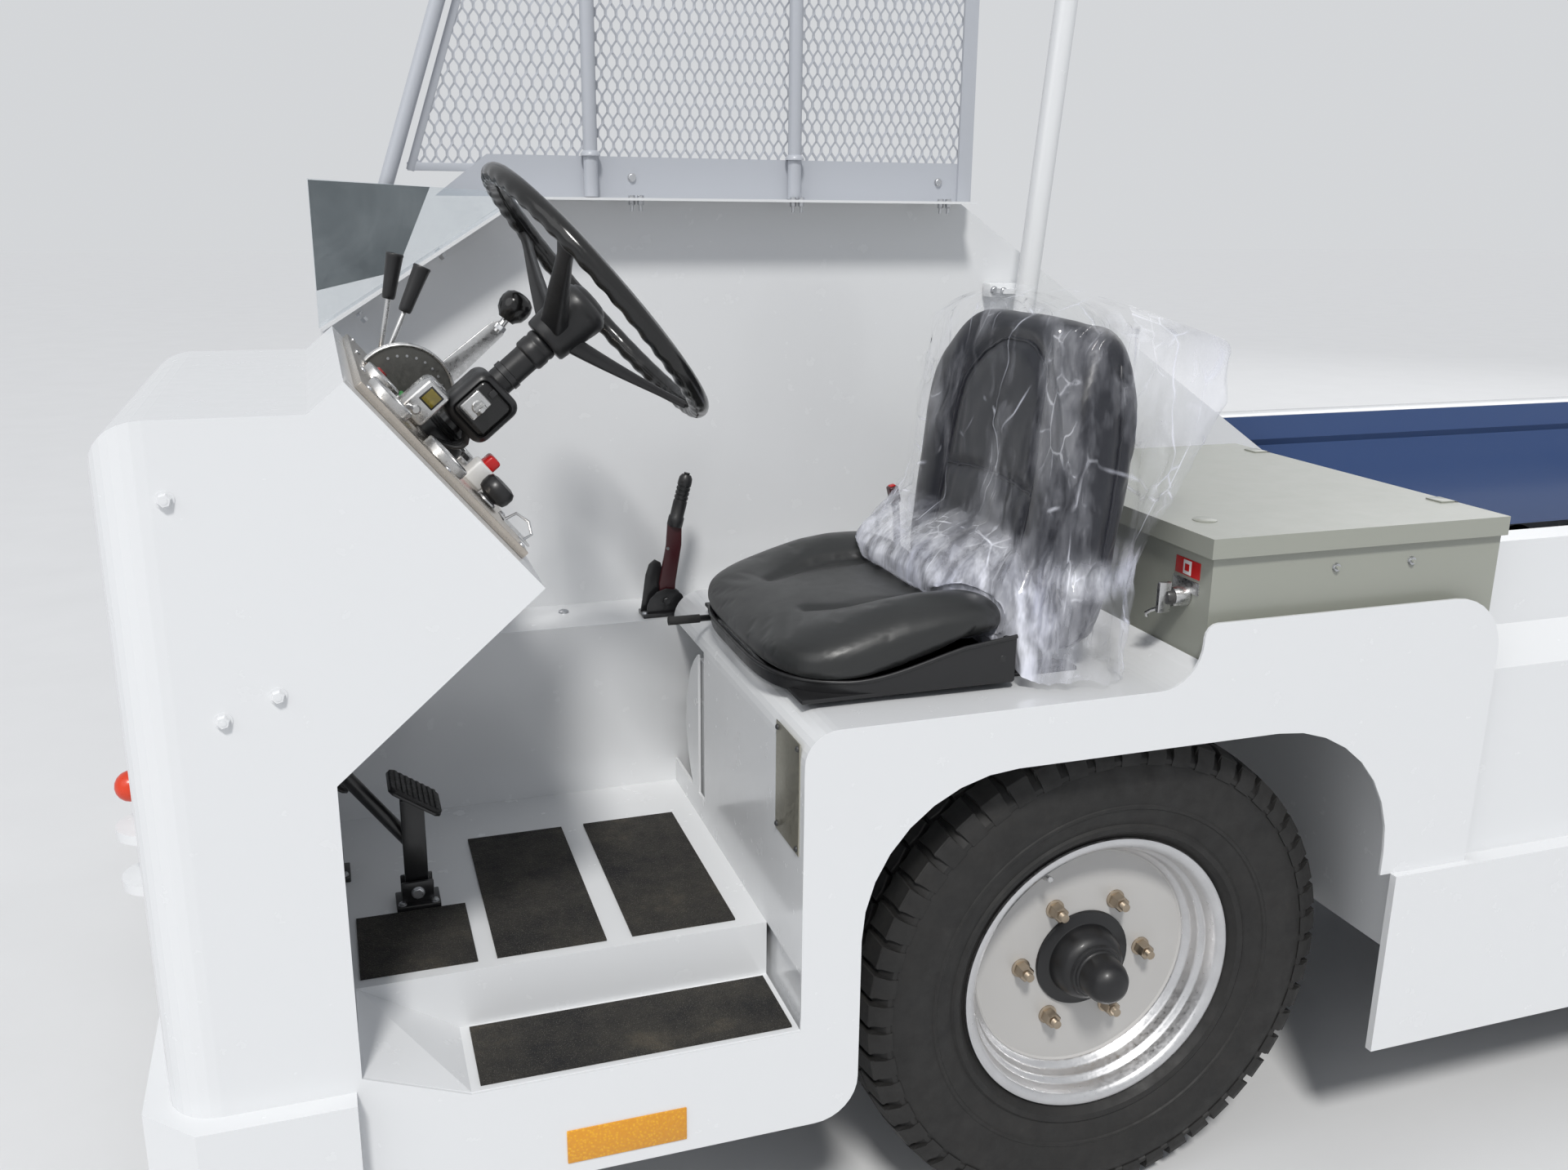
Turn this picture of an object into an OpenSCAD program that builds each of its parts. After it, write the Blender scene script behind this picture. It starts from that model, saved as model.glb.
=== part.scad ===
// Self-propelled airport belt loader: a low chassis with the driver's station at the
// front left and a lifting conveyor boom along its right side.
// X runs forward, Y to the left, Z up, in millimetres. The origin is on the ground
// under the middle of the bounding box.

/* [Overall] */
// Front axle to the tip of the front hitch
front_reach = 1430; // [1400:5:1480]
// Front axle to the tail of the conveyor
rear_reach = 5070; // [5000:10:5300]
// Width over the side skins
body_w = 2000; // [1960:10:2060]
// Front axle to rear axle
wheelbase = 3000; // [2950:10:3050]
// Thickness of the body sheet
sheet = 4; // [3:0.5:5]

/* [Wheels] */
// Radius of the tyre
tyre_r = 382; // [376:1:384]
// Width of the tyre
tyre_w = 248; // [230:2:256]
// Tyre side to the side skin's outer face
tyre_inset = 60; // [50:2:76]
// Outer radius of the rim's flange
rim_r = 220; // [214:1:226]
// Wheel disc, measured inwards from the rim's flange
dish = 56; // [54:1:60]
// Radius of the circle of wheel studs
stud_circle_r = 103; // [98:1:108]
// Number of wheel studs
stud_n = 6; // [5:1:8]
// Radius of the black hub
hub_r = 77; // [72:1:80]
// Height of the wheel arch above the tyre
arch_gap = 9; // [8:1:14]
// Half length of the wheel arch
arch_half = 418; // [412:1:424]
// Corner radius of the wheel arch
arch_corner_r = 215; // [190:5:225]

/* [Nose] */
// Front face of the nose, ahead of the front axle
nose_x = 1255; // [1245:1:1262]
// Height of the hood
hood_z = 1268; // [1250:2:1290]
// Radius of the hood's and the nose's rounded edges
nose_r = 60; // [40:5:70]
// Start of the dash, ahead of the front axle
dash_top_x = 1004; // [990:2:1014]
// Height of the dash's upper edge
dash_top_z = 1300; // [1290:2:1310]
// Length of the dash along its slope
dash_len = 305; // [290:1:315]
// Angle of the dash from level
dash_angle = 50; // [46:1:54]
// Rear edge of the nose at the doorway, ahead of the front axle
door_x = 1043; // [1030:1:1060]
// Height where the nose's underside meets the doorway
under_z = 860; // [840:5:880]
// How far the bumper stands proud of the nose and sides
bumper_proud = 28; // [20:1:34]
// Height of the bumper's upper edge
bumper_z = 474; // [460:2:486]
// Depth of the bumper
bumper_h = 250; // [220:5:260]

/* [Cab] */
// Height of the cab floor
floor_z = 522; // [516:2:540]
// Height of the entry step
step_z = 442; // [430:2:454]
// Width of the entry step
step_w = 145; // [130:5:160]
// Distance from the side to the cab's inner wall
inner_w = 650; // [650:1:656]
// Height of the ledge on the inner wall
ledge_z = 812; // [800:2:820]
// Front wall of the seat box, ahead of the front axle
seat_front = 500; // [500:1:510]
// Height of the seat box
seat_z = 857; // [850:1:866]
// Lower edge of the side skin
sill_z = 297; // [285:2:310]
// Height of the raised side beside the electrical box
side_top_z = 945; // [936:1:954]
// Thickness of the step mats
mat_t = 3; // [2:0.5:4]

/* [Electrical box] */
// Front wall of the box, from the front axle
box_x0 = -85; // [-90:1:-78]
// Length of the box
box_len = 490; // [480:1:491]
// Near wall of the box, from the side
box_inset = 25; // [20:1:40]
// Width of the box
box_w = 615; // [600:5:618]
// Height of the box's lid
box_top = 1057; // [1045:1:1065]
// Thickness of the lid
lid_t = 28; // [24:1:34]

/* [Divider and guard] */
// Distance from the side to the divider
divider_w = 780; // [776:1:784]
// Height of the divider
divider_z = 1484; // [1470:2:1500]
// Flange of the divider
flange_w = 80; // [70:2:90]
// Height of the mesh guard above the divider
guard_h = 740; // [700:10:800]
// Outer radius of the guard's tubes
guard_tube_r = 12; // [10:0.5:14]
// Length of the beacon mast
mast_len = 1080; // [1000:10:1150]
// Radius of the beacon mast
mast_r = 19; // [17:0.5:21]

/* [Seat] */
// Middle of the seat, from the side
seat_in = 300; // [290:2:310]
// Width of the cushion
cushion_w = 480; // [460:5:500]
// Length of the cushion
cushion_len = 335; // [325:5:345]
// Thickness of the cushion
cushion_t = 112; // [100:2:120]
// Height of the seat back
back_h = 430; // [410:5:440]
// Width of the seat back
back_w = 460; // [440:5:480]

/* [Steering] */
// Dash to the steering wheel, along the column
column_len = 286; // [280:2:300]
// Outer radius of the steering wheel
steering_r = 205; // [195:1:210]
// Thickness of the steering wheel's ring
ring_t = 26; // [22:1:30]

/* [Rear body] */
// Height of the rear body
rear_z = 1000; // [990:2:1006]
// Upper wall of the rear body, from the side
rear_upper_in = 80; // [74:2:86]
// Lower wall of the rear body, from the side
rear_lower_in = 18; // [16:1:24]
// Height of the skirt's ledge
skirt_z = 520; // [510:2:530]
// How far the skirt stands out from the side
skirt_proud = 12; // [8:1:14]
// Lower edge of the skirt
skirt_low = 220; // [210:2:230]
// Height of the deck behind the cab
deck_z = 744; // [736:2:748]
// Back of the chassis, from the front axle
chassis_back = 4060; // [4050:5:4080]

/* [Boom] */
// Near side of the boom, left of the middle
boom_y1 = 150; // [140:1:156]
// Width of the boom
boom_w = 1100; // [1080:5:1110]
// Height of the boom's side rail
boom_top = 1070; // [1060:1:1080]
// Depth of the boom
boom_h = 275; // [268:1:275]
// Front end of the boom, ahead of the front axle
boom_x = 1290; // [1280:2:1296]
// Width of the belt
belt_w = 800; // [760:10:820]
// Height of the near side panel above the belt
belt_drop = 184; // [180:1:188]
// Boom pivot, behind the front axle
pivot_back = 4000; // [3990:5:4010]
// Height of the boom pivot
pivot_z = 728; // [724:1:732]
// Radius of the pivot and cylinder pins
pin_r = 20; // [18:0.5:22]
// Running clearance of pins, on the radius
pin_gap = 0.05; // [0.02:0.01:0.09]
// Cylinder foot, behind the front axle
foot_back = 2550; // [2545:1:2555]
// Height of the cylinder foot
foot_z = 430; // [428:1:436]
// Cylinder eye, behind the front axle
eye_back = 1550; // [1545:1:1555]
// Height of the cylinder eye
eye_z = 740; // [736:1:744]
// Outer radius of the cylinder's barrel
barrel_r = 45; // [40:1:48]
// Radius of the cylinder's rod
rod_r = 25; // [22:1:28]

/* [Chassis] */
// Outer face of each rail, from the middle
rail_y = 346; // [340:1:346]
// Width of each rail
rail_w = 80; // [70:2:90]
// Height of each rail's top
rail_top = 600; // [590:2:606]
// Depth of each rail
rail_h = 150; // [140:2:156]
// Kingpin, from the middle
kingpin_y = 632; // [628:1:636]
// Radius of the kingpin
kingpin_r = 18; // [16:0.5:20]
// Radius of the hitch pin's holes
hitch_r = 16.5; // [15:0.5:18]
// Opening of the hitch jaws
jaw_gap = 80; // [70:2:90]

/* [Hidden] */
$fn = 48;

// Places that follow from the sizes
half_len = (front_reach + rear_reach) / 2;
xf = half_len - front_reach;
side_y = body_w / 2;
wheel_z = tyre_r;
tyre_y1 = side_y - tyre_inset;
tyre_y0 = tyre_y1 - tyre_w;
flange_y = tyre_y1 - 20;
disc_y = flange_y - dish;
disc_t = 12;
arch_z = 2 * tyre_r + arch_gap;
dash_tip_x = dash_top_x - dash_len * cos(dash_angle);
dash_tip_z = dash_top_z - dash_len * sin(dash_angle);
inner_y = side_y - inner_w;
nose_y0 = inner_y - sheet;
divider_y = side_y - divider_w;
riser_y = side_y - step_w;
box_x1 = box_x0 - box_len;
cab_back = -577;
box_y1 = side_y - box_inset;
box_y0 = box_y1 - box_w;
box_wall = 3;
lid_lip = 10;
liner_top = 2 * tyre_r + 20;
liner_y = side_y - 514;
liner_half = 492;
boom_y0 = boom_y1 - boom_w;
boom_z0 = boom_top - boom_h;
boom_mid = (boom_y0 + boom_y1) / 2;
boom_wall = 8;
boom_inset = 8;
boom_lip = 62;
lip_t = 6;
belt_z = boom_top - belt_drop;
far_top = belt_z - 2;
drum_r = 34;
belt_t = 8;
panel_t = 10;
lift_y = [20, -200];
eye_w = 50;
lug_w = 30;
lug_y = [boom_y1 - 110, boom_y0 + 110];
guard_y = divider_y + 30;
guard_z0 = divider_z;
guard_z1 = divider_z + guard_h;
seat_y = side_y - seat_in;

// Angle and length of a lift cylinder at rest
lift_dx = foot_back - eye_back;
lift_dz = eye_z - foot_z;
lift_len = norm([lift_dx, lift_dz]);
lift_angle = atan2(lift_dz, lift_dx);

white = [0.93, 0.94, 0.95];
light_grey = [0.72, 0.73, 0.74];
box_grey = [0.62, 0.63, 0.57];
blue = [0.12, 0.22, 0.5];
black = [0.06, 0.06, 0.06];
rubber = [0.09, 0.09, 0.09];
steel = [0.7, 0.7, 0.72];
amber = [0.95, 0.55, 0.05];

// Points along an arc, from angle a0 to a1
function arc(cx, cz, r, a0, a1, n = 8) =
  [for (i = [0:n]) [cx + r * cos(a0 + (a1 - a0) * i / n), cz + r * sin(a0 + (a1 - a0) * i / n)]];

// A closed outline moved inwards by d; its points run anticlockwise
function side_line(a, b, d) = let (u = (b - a) / norm(b - a)) [a + d * [-u[1], u[0]], u];
function meet(p, u, q, v) =
  p + u * (((q[0] - p[0]) * v[1] - (q[1] - p[1]) * v[0]) / (u[0] * v[1] - u[1] * v[0]));
function inset(pts, d) = let (n = len(pts)) [
  for (i = [0:n - 1])
    let (
      a = side_line(pts[(i + n - 1) % n], pts[i], d),
      b = side_line(pts[i], pts[(i + 1) % n], d)
    ) meet(a[0], a[1], b[0], b[1])
];

// Drawn from the front axle's place along X
module ahead(x = 0) {
  translate([xf + x, 0, 0]) children();
}

// A side-view outline (X, Z) between two Y planes
module side_plate(pts, y0, y1) {
  translate([0, y1, 0]) rotate([90, 0, 0]) linear_extrude(y1 - y0) polygon(pts);
}

// A front-view outline (Y, Z) between two X planes
module cross_plate(pts, x0, x1) {
  translate([x0, 0, 0]) rotate([90, 0, 90]) linear_extrude(x1 - x0) polygon(pts);
}

// A block between two corners
module block(a, b) {
  translate(a) cube(b - a);
}

// A round bar between two points
module bar(p, q, r) {
  d = q - p;
  translate(p) rotate([0, acos(d[2] / norm(d)), atan2(d[1], d[0])]) cylinder(h = norm(d), r = r);
}

// A cylinder across the vehicle, from y0 to y1
module cross_bar(x, z, r, y0, y1) {
  translate([x, y1, z]) rotate([90, 0, 0]) cylinder(h = y1 - y0, r = r);
}

// Mirrored to the right side when side is -1
module on_side(side) {
  if (side > 0) children();
  else mirror([0, 1, 0]) children();
}

// Local frame on the dash: X up the slope from its upper edge, Z out of it
module on_dash() {
  ahead(dash_top_x) translate([0, 0, dash_top_z]) rotate([0, -dash_angle, 0]) children();
}

// Outline of the nose from the side
nose_outline = concat(
  [[door_x, sill_z], [nose_x, sill_z]],
  arc(nose_x - nose_r, hood_z - nose_r, nose_r, 0, 90),
  [[dash_top_x + 38, hood_z], [dash_top_x, dash_top_z], [dash_tip_x, dash_tip_z], [door_x, under_z]]
);

// Plan of the nose, with its rounded front corners
module nose_plan(back, d, z0, z1) {
  r = nose_r - d;
  x1 = nose_x - d;
  y0 = nose_y0 + d;
  y1 = side_y - d;
  pts = concat([[back, y0], [x1 - 20, y0], [x1, y0 + 20]], arc(x1 - r, y1 - r, r, 0, 90), [[back, y1]]);
  translate([0, 0, z0]) linear_extrude(z1 - z0) polygon(pts);
}

module nose_cowl() {
  color(white) ahead() difference() {
    intersection() {
      side_plate(nose_outline, nose_y0, side_y);
      nose_plan(dash_tip_x - 10, 0, 0, hood_z + 100);
    }
    intersection() {
      union() {
        side_plate(inset(nose_outline, sheet), nose_y0, side_y);
        block([door_x - 1, nose_y0, 0], [nose_x - sheet, side_y, under_z - sheet]);
      }
      nose_plan(dash_tip_x - 20, sheet, -1, hood_z + 100);
    }
  }
}

// Plan of the bumper: a U with chamfered corners
module front_bumper() {
  chamfer = 60;
  reach = 1050;
  x1 = nose_x + bumper_proud;
  yo = side_y + bumper_proud;
  outer = [
    [reach, -yo], [x1 - chamfer, -yo], [x1, -yo + chamfer], [x1, yo - chamfer],
    [x1 - chamfer, yo], [reach, yo]
  ];
  color(white) ahead() difference() {
    translate([0, 0, bumper_z - bumper_h]) linear_extrude(bumper_h) polygon(outer);
    translate([0, 0, bumper_z - bumper_h - 1]) {
      linear_extrude(bumper_h + 2) polygon(concat(
        [[reach - 1, -side_y], [nose_x, -side_y]],
        [[nose_x, side_y - nose_r]],
        arc(nose_x - nose_r, side_y - nose_r, nose_r, 0, 90),
        [[reach - 1, side_y]]
      ));
    }
  }
}

// Low front panel beside the nose, with the deck behind it
module front_apron() {
  z1 = liner_top - 24;
  color(white) ahead() {
    block([nose_x - sheet, -side_y, sill_z], [nose_x, nose_y0, z1]);
    block([liner_half + sheet, -side_y, z1 - sheet], [nose_x, divider_y - sheet, z1]);
    block([liner_half + sheet, -side_y, sill_z], [nose_x, sheet - side_y, z1]);
  }
}

// Floor, riser, step, inner wall and ledge of the driver's station
ramp_x = 920;
module cab_floor() {
  back = seat_front;
  front = nose_x - sheet;
  color(white) ahead() {
    cross_plate([
      [inner_y - sheet, floor_z - sheet], [riser_y - sheet, floor_z - sheet],
      [riser_y - sheet, step_z - sheet],
      [side_y - sheet, step_z - sheet], [side_y - sheet, step_z], [riser_y, step_z],
      [riser_y, floor_z], [inner_y, floor_z], [inner_y, ledge_z], [divider_y, ledge_z],
      [divider_y, ledge_z - sheet], [inner_y - sheet, ledge_z - sheet]
    ], back, door_x);
    block([door_x, inner_y, floor_z - sheet], [front - nose_r, side_y - sheet, floor_z]);
    block([door_x, divider_y, ledge_z - sheet], [front - nose_r, nose_y0, ledge_z]);
    block([door_x, riser_y - sheet, step_z - sheet], [door_x + sheet, side_y - sheet, floor_z]);
    // Sloped end of the step
    hull() {
      block([ramp_x, riser_y - sheet, step_z - sheet], [ramp_x + 1, side_y - sheet, step_z]);
      cross_plate([
        [riser_y - sheet, floor_z - sheet], [side_y - sheet, step_z + 48 - sheet],
        [side_y - sheet, step_z + 48], [riser_y - sheet, floor_z]
      ], door_x, door_x + 1);
    }
    cross_plate([
      [inner_y - sheet, floor_z - sheet], [inner_y, floor_z - sheet], [inner_y, ledge_z],
      [divider_y, ledge_z], [divider_y, ledge_z - sheet], [inner_y - sheet, ledge_z - sheet]
    ], cab_back, back);
  }
}

// Anti-slip mats: [x0, x1, y0, y1, z]
mats = [
  [720, 865, inner_y + 130, riser_y - 18, floor_z],
  [540, 685, inner_y + 130, riser_y - 18, floor_z],
  [890, 1037, riser_y - 175, riser_y - 18, floor_z],
  [508, 908, riser_y + 8, side_y - 12, step_z]
];

module step_mats() {
  color(black) ahead() for (m = mats) block([m[0], m[2], m[4]], [m[1], m[3], m[4] + mat_t]);
}

// Outline of the left side skin, with its doorway and wheel arch
skin_outline = concat(
  [[door_x, sill_z], [door_x, step_z + 48], [ramp_x, step_z - 1], [seat_front, step_z - 1]],
  arc(seat_front - 45, seat_z - 45, 45, 0, 90),
  arc(-3, seat_z + 62, 62, 270, 180),
  arc(-85, side_top_z - 20, 20, 0, 90, 4),
  arc(cab_back + 90, side_top_z - 90, 90, 90, 180),
  [[cab_back, skirt_z], [-arch_half, skirt_z]],
  arc(-arch_half + arch_corner_r, arch_z - arch_corner_r, arch_corner_r, 180, 90),
  arc(arch_half - arch_corner_r, arch_z - arch_corner_r, arch_corner_r, 90, 0),
  arc(arch_half + 60, sill_z + 60, 60, 180, 270)
);

module side_skin_left() {
  color(white) ahead() side_plate(skin_outline, side_y - sheet, side_y);
}

// Wheel arch opening, open downwards
module arch_cut(x, y0, y1) {
  w = arch_half - arch_corner_r;
  z = arch_z - arch_corner_r;
  translate([x, 0, 0]) {
    for (s = [-1, 1]) cross_bar(s * w, z, arch_corner_r, y0, y1);
    block([-w, y0, z - 10], [w, y1, arch_z]);
    block([-arch_half, y0, 0], [arch_half, y1, z]);
  }
}

module side_skin_right() {
  z1 = liner_top - 2;
  color(white) ahead() difference() {
    union() {
      block([-chassis_back, -side_y, skirt_low], [liner_half + sheet, sheet - side_y, z1]);
      block([-chassis_back, -side_y - skirt_proud, skirt_low], [-arch_half, -side_y, skirt_z]);
    }
    for (x = [0, -wheelbase]) arch_cut(x, -side_y - 60, 60 - side_y);
    block([arch_half - 1, -side_y - 1, 0], [nose_x, 1 - side_y, sill_z]);
  }
}

// Top and front wall of the seat box; the wall's far end is cut away
module seat_box() {
  notch_y = inner_y + 185;
  cove_x = -3;
  cove_r = 134;
  cove_angle = asin((cove_x - box_x0 - 0.3) / (cove_r + sheet));
  edge_r = 45;
  color(white) ahead() difference() {
    union() {
      side_plate(concat(
        [[seat_front - sheet, floor_z], [seat_front, floor_z]],
        arc(seat_front - edge_r, seat_z - edge_r, edge_r, 0, 90, 8),
        [[cab_back, seat_z], [cab_back, seat_z - sheet]],
        arc(seat_front - edge_r, seat_z - edge_r, edge_r - sheet, 90, 0, 8)
      ), inner_y, side_y - sheet);
      side_plate(concat(
        arc(cove_x, seat_z + cove_r, cove_r, 270, 270 - cove_angle),
        arc(cove_x, seat_z + cove_r, cove_r + sheet, 270 - cove_angle, 270)
      ), inner_y, side_y - sheet);
    }
    difference() {
      block([seat_front - 40, inner_y - 1, floor_z + 40], [seat_front + 1, notch_y, ledge_z]);
      cross_plate(arc(notch_y + 40, (floor_z + ledge_z) / 2, 150, 120, 240, 10), seat_front - 60, seat_front + 9);
    }
  }
}

// Liners of the four wheel arches: [x, half length, inner wall, side]
liners = [
  [0, liner_half, liner_y, 1],
  [0, liner_half, liner_y, -1],
  [-wheelbase, arch_half + 22, tyre_y0 - 42, 1],
  [-wheelbase, arch_half + 22, tyre_y0 - 42, -1]
];

module wheel_arches() {
  low = wheel_z - 20;
  axle_gap = 160;
  color(white) ahead() for (l = liners) on_side(l[3]) translate([l[0], 0, 0]) difference() {
    outer_y = l[0] < 0 && l[3] > 0 ? side_y - rear_lower_in - sheet : side_y - sheet;
    block([-l[1], l[2] - sheet, low], [l[1], outer_y, liner_top]);
    block([-l[1] + sheet, l[2], low - 1], [l[1] - sheet, side_y, liner_top - sheet]);
    block([-axle_gap, l[2] - sheet - 1, low - 1], [axle_gap, l[2] + 1, wheel_z + 120]);
  }
}

// Divider between the driver and the belt, with a flange along its top and front slope
slope_x = [715, dash_top_x + 16];
slope_z = [divider_z, dash_top_z - 8];
divider_back = -50;
module divider() {
  outline = [
    [dash_top_x + 16, ledge_z - sheet], [slope_x[1], slope_z[1]], [slope_x[0], slope_z[0]],
    [divider_back, divider_z], [-830, 955], [-830, deck_z], [cab_back, deck_z], [cab_back, ledge_z - sheet]
  ];
  color(white) ahead() {
    side_plate(outline, divider_y - sheet, divider_y);
    side_plate([
      [divider_back, divider_z - sheet], [slope_x[0] - 2, divider_z - sheet],
      [slope_x[1] - 3, slope_z[1] - sheet], [slope_x[1], slope_z[1]],
      [slope_x[0], slope_z[0]], [divider_back, divider_z]
    ], divider_y, divider_y + flange_w);
  }
}

// Lower strip and tubes of the mesh guard
guard_x0 = divider_back - 4;
guard_front = 840;
guard_lean = 19;
module guard_frame() {
  lean = guard_h * tan(guard_lean);
  tube_y = guard_y + 3 + guard_tube_r;
  top = guard_z1 - guard_tube_r;
  post_r = guard_tube_r - 1;
  color(light_grey) ahead() {
    side_plate([
      [guard_front, guard_z0], [guard_front - 80, guard_z0 + 62], [guard_x0, guard_z0 + 62],
      [guard_x0, guard_z0]
    ], guard_y, guard_y + 4);
    block([guard_x0, guard_y + 4, guard_z0], [guard_x0 + 25, guard_y + 10, guard_z1]);
    for (x = [268, 603])
      bar([x, tube_y, guard_z0 + 1], [x, tube_y, top], post_r);
    bar([920, tube_y, guard_z0 - 10], [920 - lean, tube_y, top], post_r);
    bar([guard_x0 + 1, tube_y, top], [920 - lean + guard_tube_r, tube_y, top], guard_tube_r);
  }
}

// Expanded mesh, as a coarse lattice of crossed strips
module guard_mesh() {
  pitch = 120;
  strip_w = 8;
  tilt = 64;
  lean = guard_h * tan(guard_lean);
  z0 = guard_z0 + 40;
  outline = [
    [880, z0], [900 - lean, guard_z1 - 10], [guard_x0, guard_z1 - 10], [guard_x0, z0]
  ];
  color(light_grey) ahead() {
    intersection() {
      side_plate(outline, guard_y - 4, guard_y);
      union() for (s = [-1, 1]) for (x = [guard_x0 - 500:pitch:1400])
        translate([x, guard_y - 4, guard_z0 - 40]) rotate([0, -s * tilt, 0])
          translate([0, 0, -strip_w / 2]) cube([1400, 4, strip_w]);
    }
    difference() {
      side_plate(outline, guard_y - 4, guard_y);
      side_plate(inset([outline[3], outline[0], outline[1], outline[2]], 12), guard_y - 5, guard_y + 1);
    }
  }
}

module side_screen() {
  y = divider_y + flange_w - 8;
  color([0.8, 0.85, 0.88, 0.35]) ahead() side_plate([
    [slope_x[1] + 2, slope_z[1]], [slope_x[1] + 2, divider_z + 22], [770, divider_z + 8],
    [slope_x[0], slope_z[0]]
  ], y, y + 4);
}

module screen_plate() {
  y = divider_y + flange_w - 12;
  color([0.45, 0.47, 0.46]) ahead() side_plate([
    [slope_x[1] + 1, slope_z[1] + 55], [slope_x[1] + 1, divider_z + 20], [850, divider_z + 12],
    [905, divider_z - 110]
  ], y, y + 4);
}

// Instrument panel on the dash, with round gauges
gauges = [[-80, 428, 26], [-160, 440, 34], [-235, 440, 26], [-60, 700, 26], [-62, 860, 30], [-150, 870, 30]];
quadrant_at = -104;
module dash_panel() {
  color(steel) on_dash() {
    block([-dash_len + 25, nose_y0 + 40, 0.1], [-18, side_y - 60, panel_t]);
    for (g = gauges) translate([g[0], g[1], panel_t]) cylinder(h = 9, r = g[2]);
    // Quadrant of the drive lever, and the counter's housing
    intersection() {
      translate([quadrant_at, 612, panel_t - 6]) rotate([90, 0, 0]) cylinder(h = 20, r = 66);
      block([quadrant_at - 80, 590, 1], [quadrant_at + 80, 614, 90]);
    }
    block([-140, 742, panel_t - 1], [-100, 796, 62]);
  }
}

column_at = -157;
column_y = side_y - 300;
module steering_column() {
  color(black) on_dash() translate([column_at, column_y, panel_t]) {
    cylinder(h = 16, r = 36);
    cylinder(h = column_len - 60 - panel_t, r = 19);
    translate([0, 0, column_len - 110]) cylinder(h = 34, r = 24);
    cylinder(h = column_len - 20 - panel_t, r = 10);
    translate([-44, 10, 52]) cube([76, 70, 58]);
  }
}

module steering_wheel() {
  hub_low = column_len - 56;
  ring_r = steering_r - ring_t / 2;
  color(black) on_dash() translate([column_at, column_y, 0]) {
    difference() {
      union() {
        translate([0, 0, hub_low]) cylinder(h = 50, r = 36);
        for (a = [60, 180, 300]) rotate([0, 0, a])
          bar([20, 0, hub_low + 20], [ring_r, 0, column_len], 10);
      }
      translate([0, 0, hub_low - 1]) cylinder(h = 37, r = 10 + pin_gap);
    }
    translate([0, 0, column_len]) rotate_extrude($fn = 96) translate([ring_r, 0]) circle(r = ring_t / 2, $fn = 24);
  }
}

// Hydraulic levers and the knobbed drive lever: [foot, top, grip radius, grip length]
levers = [
  [[-73, 476, 0], [26, 478, 126], 12, 62],
  [[-73, 520, 0], [-7, 518, 141], 12, 66],
  [[-112, 562, 0], [-121, 574, 206], 21, 42]
];
module control_levers() {
  color(black) on_dash() for (l = levers) {
    p = l[0] + [0, 0, panel_t];
    tip = l[1] + [0, 0, panel_t];
    d = (tip - p) / norm(tip - p);
    translate(p) cylinder(h = 9, r = min(l[2] + 6, 19));
    bar(p + d * 6, tip - d * l[3] / 2, 6);
    bar(tip - d * l[3], tip, l[2]);
  }
}

module handbrake() {
  y = inner_y - 30;
  color(black) ahead() {
    block([458, y - 20, ledge_z], [548, y + 20, ledge_z + 8]);
    side_plate([[465, ledge_z + 8], [541, ledge_z + 8], [525, ledge_z + 60], [482, ledge_z + 60]], y - 6, y + 6);
    bar([500, y, ledge_z + 30], [486, y, ledge_z + 200], 10);
    bar([492, y, ledge_z + 130], [482, y, ledge_z + 250], 15);
  }
}

// Two pedals, the far one ahead of the doorway: [Y, distance ahead]
pedal_at = [[side_y - 345, 0], [side_y - 460, 118]];
module pedals() {
  color(black) ahead() for (p = pedal_at) translate([p[1], 0, 0]) {
    y = p[0];
    block([925, y - 22, floor_z], [985, y + 22, floor_z + 14]);
    block([932, y - 9, floor_z + 13], [972, y + 9, floor_z + 185]);
    translate([952, y, floor_z + 184]) rotate([0, -48, 0]) translate([-52, -38, -6]) cube([104, 76, 12]);
    bar([950, y - 14, floor_z + 90], [door_x + 20, y - 14, floor_z + 214], 11);
  }
}

module seat_base() {
  rear = seat_front - cushion_len - 140;
  foot_y = back_w / 2 + 8;
  color(black) ahead() {
    for (s = [-1, 1]) block([rear + 30, seat_y + s * 130 - 15, seat_z], [seat_front - 60, seat_y + s * 130 + 15, seat_z + 9]);
    block([rear + 10, seat_y - foot_y, seat_z + 8], [seat_front - 30, seat_y + foot_y, seat_z + 18]);
    for (s = [-1, 1]) side_plate([
      [rear + 20, seat_z + 10], [rear + 80, seat_z + 10], [rear + 80, seat_z + 60], [rear + 50, seat_z + 170],
      [rear + 20, seat_z + 170]
    ], seat_y + s * foot_y - 4, seat_y + s * foot_y + 4);
  }
}

// A block with rounded long edges
module soft_block(size, r) {
  hull() for (step = [[0.5, 0], [0.15, 0.2], [0, 0.6]]) {
    in = step[0] * r;
    up = step[1] * r;
    translate([r, r, up]) linear_extrude(size[2] - 2 * up) offset(r = r - in, $fn = 24)
      square([size[0] - 2 * r, size[1] - 2 * r]);
  }
}

module seat_cushion() {
  color(black) ahead() translate([seat_front - cushion_len, seat_y - cushion_w / 2, seat_z + 18.3])
    soft_block([cushion_len, cushion_w, cushion_t], 34);
}

module seat_back() {
  back_t = 115;
  color(black) ahead() translate([seat_front - cushion_len - 9, seat_y - back_w / 2, seat_z + 34]) rotate([0, -6, 0])
    translate([-back_t, 0, 0]) soft_block([back_t, back_w, back_h], 36);
}

module electrical_box() {
  z1 = box_top - lid_t;
  color(box_grey) ahead() difference() {
    block([box_x1, box_y0, seat_z], [box_x0, box_y1, z1]);
    block([box_x1 + box_wall, box_y0 + box_wall, seat_z + box_wall], [box_x0 - box_wall, box_y1 - box_wall, z1 + 1]);
  }
}

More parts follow.
